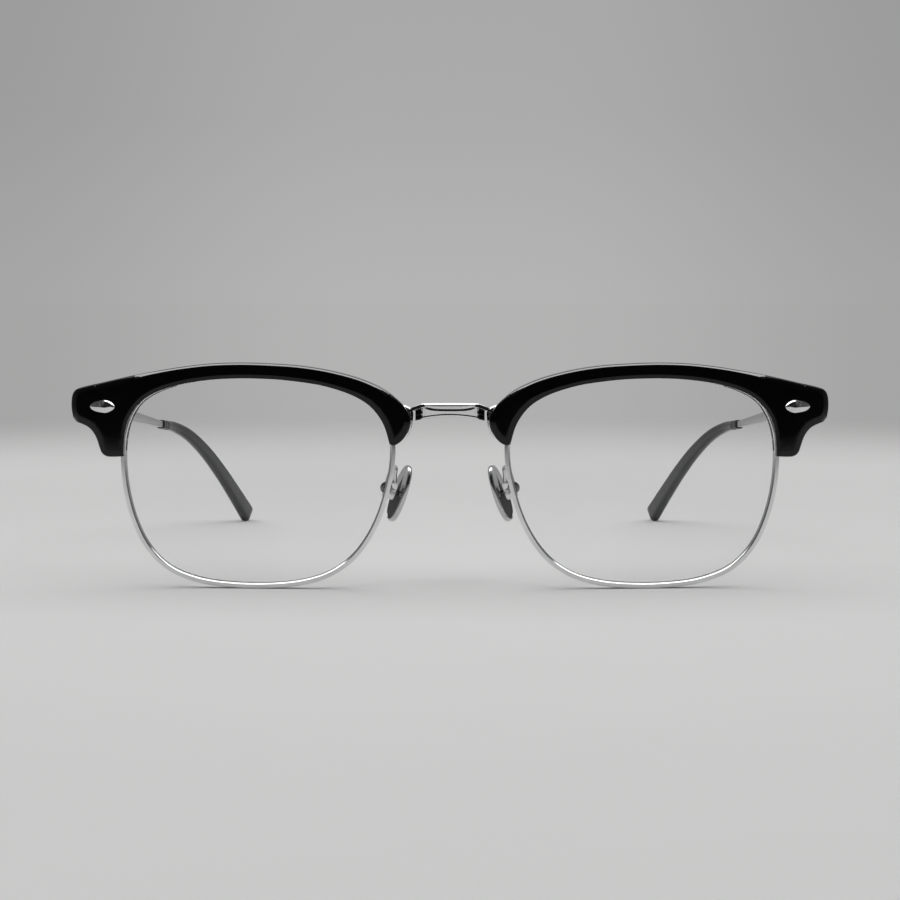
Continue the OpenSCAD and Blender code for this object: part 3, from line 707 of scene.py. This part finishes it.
def bridge_end():
    """Stepped end block with three notches and the arm over it."""
    s = Solid()
    # notched block
    rings = []
    for x, g in ((5.05, 0.0), (5.35, 0.0), (5.75, 0.0), (6.15, 0.0), (6.45, 0.0)):
        k = (x - 5.05) / 1.4
        front = 0.14 + 0.28 * k
        z0, z1 = 31.72 - 0.30 * k, 34.36 - 0.30 * k
        pts = [(2.5, z1), (front + 0.30, z1)]
        n = 3
        for i in range(n):
            za = z1 - 0.02 - (z1 - z0 - 0.04) * i / n
            zb = z1 - 0.02 - (z1 - z0 - 0.04) * (i + 1) / n
            pts.append((front + 0.24, za))
            pts.append((front - 0.04, zb + 0.15))
            pts.append((front - 0.03, zb + 0.09))
        pts += [(front + 0.24, z0), (2.5, z0)]
        rings.append([(x, y, z) for y, z in pts])
    s.rings(rings)
    # the block's part nearest the brow takes the dark material: painted reflection of the dark brow in the notches
    for i, f in enumerate(s.f):
        x, y, _ = np.mean([s.v[v] for v in f], axis=0)
        if x > 5.45 and y < 0.9:
            s.m[i] = 1
    block, s = s, Solid()
    # arm: a rounded bar running from over the block down behind the brow's nasal end
    path = catmull([(4.7, 0.42, 34.27), (5.1, 0.42, 34.26), (5.9, 0.50, 33.98), (6.8, 0.78, 33.60), (7.5, 1.10, 33.33), (8.4, 1.22, 33.20), (9.4, 1.5, 33.15)], 5, False)
    t = tangents(path)
    rings = []
    for p, d in zip(path, t):
        side = unit(np.cross(d, [0, 0, 1.0]))
        side = side if side[1] < 0 else -side
        up = unit(np.cross(side, d))
        up = up if up[2] > 0 else -up
        c = 0.05 + 0.10 * float(np.clip(abs(p[0] - 6.15) - 0.75, 0, 0.3)) / 0.3
        sec = rounded([(-0.40, 0.36), (0.20 - c, 0.36), (0.20, 0.36 - c), (0.36, -0.34), (-0.40, -0.40)], [0.1, c * 0.3, c * 0.3, 0.08, 0.1], 3)
        rings.append([p + side * a + up * b for a, b in sec])
    s.rings(rings)
    return block, s


def foot_solid():
    """Plate that lies on the rim behind the brow's nasal end; its edge shows past the brow."""
    line = catmull([(7.0, 33.4), (6.9, 31.6), (7.2, 29.8), (7.9, 28.6), (9.0, 28.1), (10.6, 28.0), (12.0, 31.5), (12.4, 32.8), (12.0, 34.0), (10.4, 34.5), (8.6, 34.3)], 10, True)
    line = resample(line, 120, True)
    t = tangents(line, True)
    n = np.stack([t[:, 1], -t[:, 0]], 1)
    area = 0.5 * (line[:, 0] * np.roll(line[:, 1], -1) - np.roll(line[:, 0], -1) * line[:, 1]).sum()
    if area < 0:
        n = -n
    rings = []
    for inset, r in ((0.34, 0.93), (0.22, 0.86), (0.20, 0.62), (0.10, 0.56), (0.0, 0.46), (0.0, -0.40), (0.04, -0.48), (0.12, -0.54)):
        p = line - n * inset
        rings.append(np.stack([p[:, 0], ys(p[:, 0], p[:, 1], r), p[:, 1]], 1))
    return Solid().rings(rings)


def merged(*solids):
    s = Solid()
    for k in solids:
        s.add(k.v, k.f, k.m)
    return s


def mirrored(solid):
    s = Solid()
    s.add([(-x, y, z) for x, y, z in solid.v], [tuple(reversed(f)) for f in solid.f], solid.m)
    return s


def union(ob, others):
    """Joins closed pieces into one skin."""
    for o in others:
        m = ob.modifiers.new("join", "BOOLEAN")
        m.operation, m.solver, m.object = "UNION", "EXACT", o
    dg = bpy.context.evaluated_depsgraph_get()
    me = bpy.data.meshes.new_from_object(ob.evaluated_get(dg))
    ob.modifiers.clear()
    old = ob.data
    ob.data = me
    bpy.data.meshes.remove(old)
    for o in others:
        bpy.data.objects.remove(o)
    return ob


def loose(solid, side=1):
    """A temporary object for a union."""
    v = np.array(solid.v, float)
    v[:, 0] *= side
    v[:, 1] -= YM
    v *= 0.001
    faces = solid.f if side > 0 else [tuple(reversed(f)) for f in solid.f]
    me = bpy.data.meshes.new("part")
    me.from_pydata(v.tolist(), [], faces)
    bm = bmesh.new()
    bm.from_mesh(me)
    bmesh.ops.remove_doubles(bm, verts=bm.verts, dist=1e-7)
    bmesh.ops.recalc_face_normals(bm, faces=bm.faces)
    for f in bm.faces:
        f.smooth = True
    bm.to_mesh(me)
    bm.free()
    ob = bpy.data.objects.new("part", me)
    bpy.context.scene.collection.objects.link(ob)
    return ob


def fused(name, solids, mats, body, nodes, angle=32, second=None):
    obs = [loose(s, k) for s, k in solids]
    ob = union(obs[0], obs[1:])
    ob.name = name
    ob.data.name = name
    for f in ob.data.polygons:
        f.use_smooth = True
    ob.data.set_sharp_from_angle(angle=math.radians(angle))
    ob.data.materials.clear()
    for m in mats if isinstance(mats, (list, tuple)) else [mats]:
        ob.data.materials.append(m)
    for f in ob.data.polygons:
        f.material_index = 1 if second and second(f.center[0] * 1000, f.center[1] * 1000 + YM, f.center[2] * 1000) else 0
    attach(ob, body)
    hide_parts(nodes)
    return ob


BE, FT = bridge_end(), foot_solid()
HALF = merged(BE[0], BE[1], FT)
build("bridge_bar", merged(bridge_solid(), HALF, mirrored(HALF)), 1, (BRIDGE_METAL, DARK_AND_SHADE), "front", "bridge", 17)

# ---------------------------------------------------------------------------
# Plaques on the end pieces
# ---------------------------------------------------------------------------


def sphere_frame(a, z, r):
    n = unit(np.array([a - CA, -math.sqrt(BR**2 - (a - CA) ** 2 - (z - CZ) ** 2), z - CZ]))
    origin = np.array([CA, CY, CZ]) + (BR + r) * n
    x = unit(np.cross(np.array([0, 0, 1.0]), -n))
    x = x if x[0] > 0 else -x
    y = unit(np.cross(x, n))
    y = y if y[2] > 0 else -y
    return origin, x, y, n


def plaque_solid():
    o, ex, ey, en = sphere_frame(64.1, 33.67, 0.0)
    top = catmull([(2.55, -0.1), (2.28, 0.38), (1.45, 0.86), (0.4, 1.08), (-0.6, 1.16), (-1.4, 0.97), (-2.1, 0.55), (-2.55, -0.05)], 6, False)
    low = catmull([(-2.55, -0.05), (-2.3, -0.55), (-1.5, -1.02), (-0.74, -1.25), (0.2, -1.18), (1.4, -0.95), (2.2, -0.55), (2.55, -0.1)], 6, False)
    under = np.interp(top[:, 0][::-1], low[:, 0], low[:, 1])[::-1]
    line = np.vstack([top, np.stack([top[:, 0], under], 1)[-2:0:-1]])
    ridge = np.array([(2.2, -0.12), (1.2, -0.18), (0.0, -0.25), (-0.74, -0.31), (-1.2, -0.22), (-1.7, -0.13)])
    n = len(line)

    def crest(x):
        return 3.31 + np.interp(x, [-2.2, -1.7, -1.2, 0.2, 1.2, 2.2], [0.06, 0.22, 0.40, 0.42, 0.24, 0.03])

    def near(p):
        x = np.clip(p[0] * 0.80, -1.7, 2.2)
        return np.array([x, np.interp(x, ridge[::-1, 0], ridge[::-1, 1])])

    c = np.array([near(p) for p in line])
    tl = tangents(line, True)
    inw = np.stack([-tl[:, 1], tl[:, 0]], 1)
    if ((c - line) * inw).sum() < 0:
        inw = -inw
    strip = np.array([0.03 + 0.23 * min(1, max(0, (-0.15 - x) / 0.35)) * min(1, max(0, (2.45 + x) / 0.3)) * (1.0 if y > 0.1 else 0.0) for x, y in line])
    strip = np.convolve(np.r_[strip[-1:], strip, strip[:1]], np.ones(3) / 3, "valid")
    rings = []
    for q, r in ((line, 2.82), (line, 3.16)):
        rings.append([o + ex * x + ey * y + en * r for x, y in q])
    q0 = line + inw * np.minimum(strip, 0.3 * np.linalg.norm(c - line, axis=1))[:, None]
    h0 = 3.16 + 0.03 + 0.95 * strip
    rings.append([o + ex * x + ey * y + en * h for (x, y), h in zip(q0, h0)])
    top_h = crest(c[:, 0])
    top_h = np.maximum(top_h, h0 + 0.01)
    for w in (0.33, 0.67, 1.0):
        q = q0 + (c - q0) * w
        hh = h0 + (top_h - h0) * w
        rings.append([o + ex * x + ey * y + en * h for (x, y), h in zip(q, hh)])
    s = Solid()
    s.rings(rings, caps=False)
    m = len(rings)
    s.f.append(tuple(range(n - 1, -1, -1)))
    s.m.append(0)
    for x in (63.9, 66.2):
        rg = []
        for y in (7.74, 7.0, 3.4):
            rg.append([(x + 0.5 * math.cos(math.pi * q / 12), y, 34 + 0.5 * math.sin(math.pi * q / 12)) for q in range(24)])
        s.rings(rg)
    return s


# ---------------------------------------------------------------------------
# Nose pads, their arms and the arms' solder feet
# ---------------------------------------------------------------------------
LEAN, SPLAY = math.radians(19), math.radians(23)
PAD_C = np.array([9.62, 10.4, 17.05])


def pad_at(p):
    p = np.asarray(p, float)
    c, s = math.cos(SPLAY), math.sin(SPLAY)
    x = c * p[..., 0] + s * p[..., 1]
    y = -s * p[..., 0] + c * p[..., 1]
    k, l = math.cos(LEAN), math.sin(LEAN)
    return PAD_C + np.stack([k * x - l * p[..., 2], y, l * x + k * p[..., 2]], -1)


def pad_solid():
    n = 96
    out = []
    for i in range(n):
        a = 2 * math.pi * i / n
        c, q = math.cos(a), math.sin(a)
        out.append((2.9 * np.sign(c) * abs(c) ** 0.9 * (1 - 0.08 * q), 5.6 * np.sign(q) * abs(q) ** 0.95))
    out = np.array(out)
    t = tangents(out, True)
    nr = np.stack([t[:, 1], -t[:, 0]], 1)
    rings, mats = [], []
    prof = [
        (2.2, -0.50), (1.1, -0.50), (0.42, -0.50), (0.22, -0.47), (0.08, -0.39), (0.0, -0.24), (0.0, 0.06), (0.03, 0.22),
        (0.10, 0.36), (0.20, 0.45), (0.30, 0.485), (0.38, 0.485), (0.43, 0.44), (0.52, 0.43), (1.2, 0.43), (2.2, 0.43),
    ]
    for d, x in prof:
        q = out - nr * d
        q[:, 0] = np.where(np.abs(out[:, 0]) < d * 0.9, out[:, 0] * 0.1, q[:, 0])
        rings.append(pad_at(np.stack([np.full(n, x), q[:, 0], q[:, 1]], 1)))
    s = Solid()
    s.rings(rings)
    # the face below the box takes a matt, darker material: painted shade
    for i, f in enumerate(s.f):
        k = i // n
        if len(f) == 4 and k >= len(prof) - 4:
            z = np.mean([out[v % n, 1] for v in f])
            if z < -0.6:
                s.m[i] = 1
    # the cap on that side takes the painted shade too
    s.m[-1] = 1
    return s


def wire(path, r, n=20, foot=None):
    path = np.asarray(path, float)
    t = tangents(path)
    rings = []
    side = unit(np.cross(t[0], [0, 0, 1.0]))
    for i, p in enumerate(path):
        side = unit(side - t[i] * (side @ t[i]))
        up = np.cross(side, t[i])
        k = r[i] if hasattr(r, "__len__") else r
        rings.append([p + k * (math.cos(2 * math.pi * q / n) * side + math.sin(2 * math.pi * q / n) * up) for q in range(n)])
    return Solid().rings(rings)


def arm_solid():
    end = pad_at((1.75, 0, 1.78))
    path = catmull([(12.0, 2.35, 18.8), (12.0, 3.9, 18.9), (11.8, 5.4, 19.8), (11.3, 6.8, 21.2), (10.6, 7.8, 22.1), (10.3, 8.8, 22.0), end + np.array([-0.12, -0.15, 1.3]), end], 8, False)
    return wire(path, 0.4)


def knob_solid():
    """Rounded solder foot on the back of the rim."""
    rings = []
    n = 32
    for rad, r in ((0.25, -1.02), (0.8, -1.02), (1.05, -1.06), (1.14, -1.22), (1.15, -1.45), (1.08, -1.68), (0.92, -1.86), (0.65, -1.97), (0.3, -2.0)):
        ring = []
        for q in range(n):
            a = 11.9 + rad * math.cos(2 * math.pi * q / n)
            z = 18.8 + rad * math.sin(2 * math.pi * q / n)
            ring.append((a, float(ys(a, z, r)), z))
        rings.append(ring)
    return Solid().rings(rings)


def on_knob(x, y, z):
    return y < 2.85 and math.hypot(abs(x) - 11.95, z - 18.8) > 0.46


# ---------------------------------------------------------------------------
# Temples, collars and tips
# ---------------------------------------------------------------------------
BAR_KEYS = [(67.6, 8.4, 34.2), (67.6, 13, 33.75), (67.6, 17.5, 33.3), (67.6, 22, 32.85)]
BAR_KEYS += [(67.6 - 2.8 * (i / 8) ** 1.25, 22 + 70 * i / 8, 32.85 - 7.15 * i / 8) for i in range(1, 9)]
TIP_KEYS = [(64.8, 92, 25.7), (64.2, 97, 25.2), (62.9, 102, 24.5), (60.4, 108, 22.4), (57.4, 115, 18.3), (54.4, 122, 12.9), (51.5, 129, 6.8), (49.2, 134.6, 1.75)]


def sweep(path, width, height, corner, seg=3, power=1.0):
    """Bar with a rounded rectangular section; width runs sideways, height upwards."""
    t = tangents(path)
    rings = []
    for i, (p, d) in enumerate(zip(path, t)):
        side = unit(np.cross(d, [0, 0, 1.0]))
        up = np.cross(side, d)
        w, h = width[i] / 2, height[i] / 2
        c = corner[i] if hasattr(corner, "__len__") else corner
        sec = rounded([(-w, -h), (w, -h), (w, h), (-w, h)], min(c, 0.46 * 2 * min(w, h)), seg)
        rings.append([p + side * a + up * b for a, b in sec])
    return rings


def temple_solid():
    path = catmull(BAR_KEYS, 6, False)
    f = np.clip((path[:, 1] - 8.5) / (92 - 8.5), 0, 1)
    keep = path[:, 1] >= 8.5
    first = np.array([67.6, 8.5, 34.19])
    path, f = np.vstack([first, path[keep]]), np.r_[0, f[keep]]
    h = 1.4 + (4.6 - 1.4) * (1 - f) * (1 - 0.45 * np.minimum(1, 5 * f))
    w = 1.2 + 0.1 * f
    rings = sweep(path, w, h, 0.3, 4)
    rings[0] = [np.array([p[0], 8.5, p[2]]) for p in rings[0]]
    s = Solid()
    # ends a little rounded
    c0 = np.mean(rings[0], axis=0)
    head = [c0 + (q - c0) * np.array([0.80, 1, 0.95]) for q in rings[0]]
    second = [np.array([q[0], 8.62, q[2]]) for q in rings[0]]
    rings = [head, second] + rings[1:]
    return s.rings(rings)


def tip_path():
    k = catmull(TIP_KEYS, 8, False)
    return k


def collar_solid():
    p = tip_path()[:9]
    n = len(p)
    rings = sweep(p, 1.9 * np.ones(n), 2.0 * np.ones(n), 0.7, 5)
    out = []
    cut = [(0.0, 0.86), (0.05, 0.97), (0.12, 1.0), (0.20, 1.0), (0.24, 0.93), (0.28, 0.93), (0.32, 1.0), (0.62, 1.0), (0.66, 0.93), (0.70, 0.93), (0.74, 1.0), (0.93, 1.0), (1.0, 0.92)]
    for t, k in cut:
        x = t * (n - 1)
        i = min(int(x), n - 2)
        g = x - i
        r = np.array(rings[i]) * (1 - g) + np.array(rings[i + 1]) * g
        c = r.mean(0)
        out.append(c + (r - c) * k)
    return Solid().rings(out)


def tip_solid():
    p = tip_path()[8:]
    n = len(p)
    f = np.linspace(0, 1, n)
    w = 1.8 + 0.5 * f
    h = 2.1 + (4.2 - 2.1) * f**1.3
    t = tangents(p)
    end, d = p[-1], t[-1]
    p = np.vstack([p, end + 0.35 * d, end + 0.6 * d, end + 0.78 * d, end + 0.88 * d])
    w = np.r_[w, 2.15, 1.85, 1.35, 0.7]
    h = np.r_[h, 4.0, 3.6, 2.9, 2.0]
    tt = tangents(p)
    rings = sweep(p, w, h, np.minimum(w * 0.46, 1.0), 6)
    rings = [list(np.mean(rings[0], axis=0) + (np.array(rings[0]) - np.mean(rings[0], axis=0)) * 0.9)] + [list(np.array(q)) for q in rings]
    rings[0] = [q + tt[0] * 0.03 for q in rings[0]]
    rings[1] = [q + tt[0] * 0.16 for q in rings[1]]
    return Solid().rings(rings)


# ---------------------------------------------------------------------------
# Small hardware: the construction's shape with its edges broken
# ---------------------------------------------------------------------------


def carry(node_name, new, bevel, mat, body, seg=2, angle=30):
    me = NODES[node_name].data.copy()
    me.name = new
    bm = bmesh.new()
    bm.from_mesh(me)
    bmesh.ops.remove_doubles(bm, verts=bm.verts, dist=2e-7)
    bmesh.ops.dissolve_limit(bm, angle_limit=math.radians(0.6), verts=bm.verts, edges=bm.edges)
    es = [e for e in bm.edges if e.is_manifold and e.calc_face_angle(0) > math.radians(angle)]
    bmesh.ops.bevel(bm, geom=es, offset=bevel * 0.001, segments=seg, profile=0.5, affect="EDGES", clamp_overlap=True)
    bmesh.ops.remove_doubles(bm, verts=bm.verts, dist=4e-7)
    bmesh.ops.dissolve_degenerate(bm, dist=2e-7, edges=bm.edges)
    bmesh.ops.triangulate(bm, faces=[f for f in bm.faces if len(f.verts) > 4])
    for f in bm.faces:
        f.smooth = True
    bm.to_mesh(me)
    bm.free()
    me.set_sharp_from_angle(angle=math.radians(34))
    me.materials.clear()
    me.materials.append(mat)
    ob = bpy.data.objects.new(new, me)
    bpy.context.scene.collection.objects.link(ob)
    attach(ob, body)
    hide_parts(node_name)
    return ob


SMALL = (
    ("rim_lock_upper", "closing_block_upper", 0.08, SATIN, "satin_metal", "front"),
    ("rim_lock_lower", "closing_block_lower", 0.08, SATIN, "satin_metal", "front"),
    ("rim_lock_screw", "closing_screw", 0.05, SCREW, "screw_steel", "front"),
    ("brow_lug", "brow_tab", 0.07, SATIN, "satin_metal", "front"),
    ("brow_screws", "brow_screw_pair", 0.05, SCREW, "screw_steel", "front"),
    ("hinge_front", "hinge_half_front", 0.08, SATIN, "satin_metal", "front"),
    ("hinge_screw", "hinge_pin", 0.05, SCREW, "screw_steel", "front"),
    ("hinge_temple", "hinge_half_temple", 0.08, SATIN, "satin_metal", "temple_{}"),
    ("pad_box", "pad_holder", 0.07, SILVER, "satin_metal", "front"),
    ("pad_screw", "pad_pin", 0.04, SCREW, "screw_steel", "front"),
    # the pad lug takes the darker steel: painted shade for the shaded gap beside the pad holder
    ("pad_lug", "pad_stud", 0.05, STEEL_PAINTED_SHADE, "satin_metal", "pad_{}"),
)

for word, s in SIDES:
    build(f"end_plaque_{word}", plaque_solid(), s, SILVER, "front", f"plaque_{word}", 24)
    build(f"nosepad_{word}", pad_solid(), s, (PAD, PAD_PAINTED_SHADE), f"pad_{word}", f"nose_pad_{word}", 34)
    # the solder foot's faces (on_knob) take the darker steel: painted shade, while the wire itself stays silver
    fused(f"pad_wire_{word}", [(arm_solid(), s), (knob_solid(), s)], (SILVER, STEEL_PAINTED_SHADE), "front", f"pad_arm_{word}", 36, on_knob)
    build(f"temple_bar_{word}", temple_solid(), s, BAR, f"temple_{word}", f"temple_{word}", 30)
    build(f"ferrule_{word}", collar_solid(), s, DARK_AND_SHADE, f"temple_{word}", f"tip_collar_{word}", 34)
    build(f"ear_tip_{word}", tip_solid(), s, GREY, f"temple_{word}", f"temple_tip_{word}", 34)
    for old, new, bevel, mat, slot, body in SMALL:
        carry(f"{old}_{word}", f"{new}_{word}", bevel, mat, body.format(word))

# ---------------------------------------------------------------------------
# Camera
# ---------------------------------------------------------------------------
cam_data = bpy.data.cameras.new("camera")
cam = bpy.data.objects.new("camera", cam_data)
bpy.context.scene.collection.objects.link(cam)
cam_data.lens = 97.05
cam_data.sensor_width = 36.0
cam_data.clip_start, cam_data.clip_end = 0.01, 60.0
cam.location = (0.0, -0.51723, 0.055789)
cam.rotation_euler = (math.radians(90 - 3.785), 0, 0)
bpy.context.scene.camera = cam

# ---------------------------------------------------------------------------
# Floor, lights and surroundings
# ---------------------------------------------------------------------------


def floor():
    rings = [0.0, 0.05, 0.1, 0.2, 0.35, 0.6, 1.0, 2.0, 4.0, 9.0]
    n = 96
    verts, faces = [(0, 0, 0)], []
    for r in rings[1:]:
        verts += [(r * math.cos(2 * math.pi * k / n), r * math.sin(2 * math.pi * k / n), 0) for k in range(n)]
    for k in range(n):
        faces.append((0, 1 + k, 1 + (k + 1) % n))
    for i in range(len(rings) - 2):
        for k in range(n):
            l = (k + 1) % n
            faces.append((1 + i * n + k, 1 + (i + 1) * n + k, 1 + (i + 1) * n + l, 1 + i * n + l))
    me = bpy.data.meshes.new("floor")
    me.from_pydata(verts, [], faces)
    ob = bpy.data.objects.new("floor", me)
    bpy.context.scene.collection.objects.link(ob)
    m, nt, out = material("floor_paper")
    tc = nt.nodes.new("ShaderNodeTexCoord").outputs["Object"]
    dif = nt.nodes.new("ShaderNodeBsdfDiffuse")
    tone = nt.nodes.new("ShaderNodeVectorMath")
    tone.operation = "SCALE"
    # painted pool of light: the floor's colour is a little brighter near the frame and dimmer with distance
    painted_pool = nt.nodes.new("ShaderNodeMapRange")
    painted_pool.interpolation_type = "SMOOTHSTEP"
    painted_pool.inputs["From Min"].default_value = 0.02
    painted_pool.inputs["From Max"].default_value = 0.26
    painted_pool.inputs["To Min"].default_value = 1.07
    painted_pool.inputs["To Max"].default_value = 0.97
    nt.links.new(painted_pool.outputs["Result"], tone.inputs["Scale"])
    nt.links.new(colour_mix(nt, noise(nt, tc, 30, 3), (0.745, 0.745, 0.742), (0.765, 0.765, 0.762)), tone.inputs[0])
    nt.links.new(tone.outputs[0], dif.inputs["Color"])
    # further out the floor glows with the backdrop's grey instead of taking lamp light
    far = nt.nodes.new("ShaderNodeEmission")
    far.inputs["Color"].default_value = (0.451, 0.451, 0.449, 1)
    off = nt.nodes.new("ShaderNodeVectorMath")
    off.operation = "DISTANCE"
    off.inputs[1].default_value = (0, -0.06, 0)
    nt.links.new(tc, off.inputs[0])
    nt.links.new(off.outputs["Value"], painted_pool.inputs["Value"])
    sm = nt.nodes.new("ShaderNodeMapRange")
    sm.interpolation_type = "SMOOTHSTEP"
    sm.inputs["From Min"].default_value = 0.30
    sm.inputs["From Max"].default_value = 0.62
    nt.links.new(off.outputs["Value"], sm.inputs["Value"])
    mix = nt.nodes.new("ShaderNodeMixShader")
    nt.links.new(sm.outputs["Result"], mix.inputs[0])
    nt.links.new(dif.outputs[0], mix.inputs[1])
    nt.links.new(far.outputs[0], mix.inputs[2])
    nt.links.new(mix.outputs[0], out.inputs["Surface"])
    away = nt.nodes.new("ShaderNodeVectorMath")
    away.operation = "ADD"
    away.inputs[1].default_value = (0, 0.517, -0.056)
    nt.links.new(tc, away.inputs[0])
    dirn = nt.nodes.new("ShaderNodeVectorMath")
    dirn.operation = "NORMALIZE"
    nt.links.new(away.outputs[0], dirn.inputs[0])
    sx = nt.nodes.new("ShaderNodeSeparateXYZ")
    nt.links.new(dirn.outputs[0], sx.inputs[0])
    ab = nt.nodes.new("ShaderNodeMath")
    ab.operation = "ABSOLUTE"
    nt.links.new(sx.outputs["X"], ab.inputs[0])
    # painted falloff: that glow grows dimmer towards the sides
    painted_falloff = nt.nodes.new("ShaderNodeMapRange")
    painted_falloff.interpolation_type = "SMOOTHSTEP"
    painted_falloff.inputs["From Min"].default_value = 0.03
    painted_falloff.inputs["From Max"].default_value = 0.20
    painted_falloff.inputs["To Min"].default_value = 1.0
    painted_falloff.inputs["To Max"].default_value = 0.83
    nt.links.new(ab.outputs[0], painted_falloff.inputs["Value"])
    nt.links.new(painted_falloff.outputs["Result"], far.inputs["Strength"])
    me.materials.append(m)
    return ob


floor()


def area(name, loc, target, size, power, size_y=None):
    d = bpy.data.lights.new(name, "AREA")
    d.shape = "RECTANGLE"
    d.size, d.size_y = size, size_y or size
    d.energy = power
    ob = bpy.data.objects.new(name, d)
    ob.location = loc
    aim = Vector(target) - Vector(loc)
    ob.rotation_euler = aim.to_track_quat("-Z", "Y").to_euler() if abs(aim.x) + abs(aim.y) > 1e-6 else (0, 0, 0)
    bpy.context.scene.collection.objects.link(ob)
    return ob


area("softbox_top", (0, -0.08, 1.13), (0, -0.08, 0), 2.4, 12.7, 0.7).visible_diffuse = False
# the same panel for matt surfaces, half of it spread by a wide diffuser so that shadows on the floor stay soft
area("softbox_matt", (0, -0.08, 1.13), (0, -0.08, 0), 2.4, 11.75, 0.7).visible_glossy = False
area("softbox_wide", (0, -0.08, 1.13), (0, -0.08, 0), 2.4, 17.8, 2.4).visible_glossy = False


def world():
    w = bpy.data.worlds.new("studio")
    bpy.context.scene.world = w
    w.use_nodes = True
    nt = w.node_tree
    nt.nodes.clear()
    out = nt.nodes.new("ShaderNodeOutputWorld")
    tc = nt.nodes.new("ShaderNodeTexCoord").outputs["Generated"]
    xyz = nt.nodes.new("ShaderNodeSeparateXYZ")
    nt.links.new(tc, xyz.inputs[0])

    def grey_ramp(stops):
        r = nt.nodes.new("ShaderNodeValToRGB")
        mr = nt.nodes.new("ShaderNodeMapRange")
        mr.inputs["From Min"].default_value = -0.2
        mr.inputs["From Max"].default_value = 1.0
        nt.links.new(xyz.outputs["Z"], mr.inputs["Value"])
        nt.links.new(mr.outputs["Result"], r.inputs["Fac"])
        els = r.color_ramp.elements
        while len(els) > 1:
            els.remove(els[-1])
        for i, (z, v) in enumerate(stops):
            e = els[0] if i == 0 else els.new((z + 0.2) / 1.2)
            e.position = (z + 0.2) / 1.2
            e.color = (v, v, v * 0.998, 1)
        return r.outputs["Color"]

    front = grey_ramp([(-0.2, 0.50), (0.0, 0.46), (0.03, 0.22), (0.06, 0.03), (0.2, 0.012), (0.8, 0.02), (1.0, 0.10)])
    back = grey_ramp([(-0.2, 0.45), (0.0, 0.45), (0.12, 0.41), (0.4, 0.34), (0.8, 0.26), (1.0, 0.25)])
    # the backdrop the camera sees: painted falloff, darker upward
    seen = grey_ramp([(-0.2, 0.451), (0.0, 0.456), (0.035, 0.434), (0.07, 0.407), (0.12, 0.397), (0.4, 0.37), (1.0, 0.33)])
    side = nt.nodes.new("ShaderNodeMapRange")
    side.interpolation_type = "SMOOTHSTEP"
    side.inputs["From Min"].default_value = 0.25
    side.inputs["From Max"].default_value = -0.55
    nt.links.new(xyz.outputs["Y"], side.inputs["Value"])
    env = nt.nodes.new("ShaderNodeMix")
    env.data_type = "RGBA"
    nt.links.new(side.outputs["Result"], env.inputs["Factor"])
    nt.links.new(back, env.inputs["A"])
    nt.links.new(front, env.inputs["B"])
    ax = nt.nodes.new("ShaderNodeMath")
    ax.operation = "ABSOLUTE"
    nt.links.new(xyz.outputs["X"], ax.inputs[0])
    # painted falloff: the backdrop grows darker towards the sides
    painted_backdrop_falloff = nt.nodes.new("ShaderNodeMapRange")
    painted_backdrop_falloff.interpolation_type = "SMOOTHSTEP"
    painted_backdrop_falloff.inputs["From Min"].default_value = 0.03
    painted_backdrop_falloff.inputs["From Max"].default_value = 0.20
    painted_backdrop_falloff.inputs["To Min"].default_value = 1.0
    painted_backdrop_falloff.inputs["To Max"].default_value = 0.83
    nt.links.new(ax.outputs[0], painted_backdrop_falloff.inputs["Value"])
    dim = nt.nodes.new("ShaderNodeVectorMath")
    dim.operation = "SCALE"
    nt.links.new(seen, dim.inputs[0])
    nt.links.new(painted_backdrop_falloff.outputs["Result"], dim.inputs["Scale"])
    b1 = nt.nodes.new("ShaderNodeBackground")
    b2 = nt.nodes.new("ShaderNodeBackground")
    nt.links.new(env.outputs["Result"], b1.inputs["Color"])
    nt.links.new(dim.outputs[0], b2.inputs["Color"])
    lp = nt.nodes.new("ShaderNodeLightPath")
    mix = nt.nodes.new("ShaderNodeMixShader")
    nt.links.new(lp.outputs["Is Camera Ray"], mix.inputs[0])
    nt.links.new(b1.outputs[0], mix.inputs[1])
    nt.links.new(b2.outputs[0], mix.inputs[2])
    nt.links.new(mix.outputs[0], out.inputs["Surface"])


world()
bpy.context.scene.view_settings.view_transform = "Standard"

# ---------------------------------------------------------------------------
# CAD nodes that stay
# ---------------------------------------------------------------------------
LOOK = {
    "bridge": BRIDGE_METAL, "plaque": SILVER, "rim_lock_upper": SATIN, "rim_lock_lower": SATIN, "rim_lock_screw": SCREW,
    "brow_lug": SATIN, "brow_screws": SCREW, "hinge_front": SATIN, "hinge_screw": SCREW, "hinge_temple": SATIN,
    "temple": SILVER, "tip_collar": DARK_AND_SHADE, "temple_tip": GREY, "pad_arm": SILVER, "pad_box": SATIN, "pad_screw": SCREW,
    "pad_lug": STEEL_PAINTED_SHADE, "nose_pad": PAD,
}
for name, ob in NODES.items():
    base = name.replace("_right", "").replace("_left", "")
    if base in LOOK:
        ob.data.materials.clear()
        ob.data.materials.append(LOOK[base])
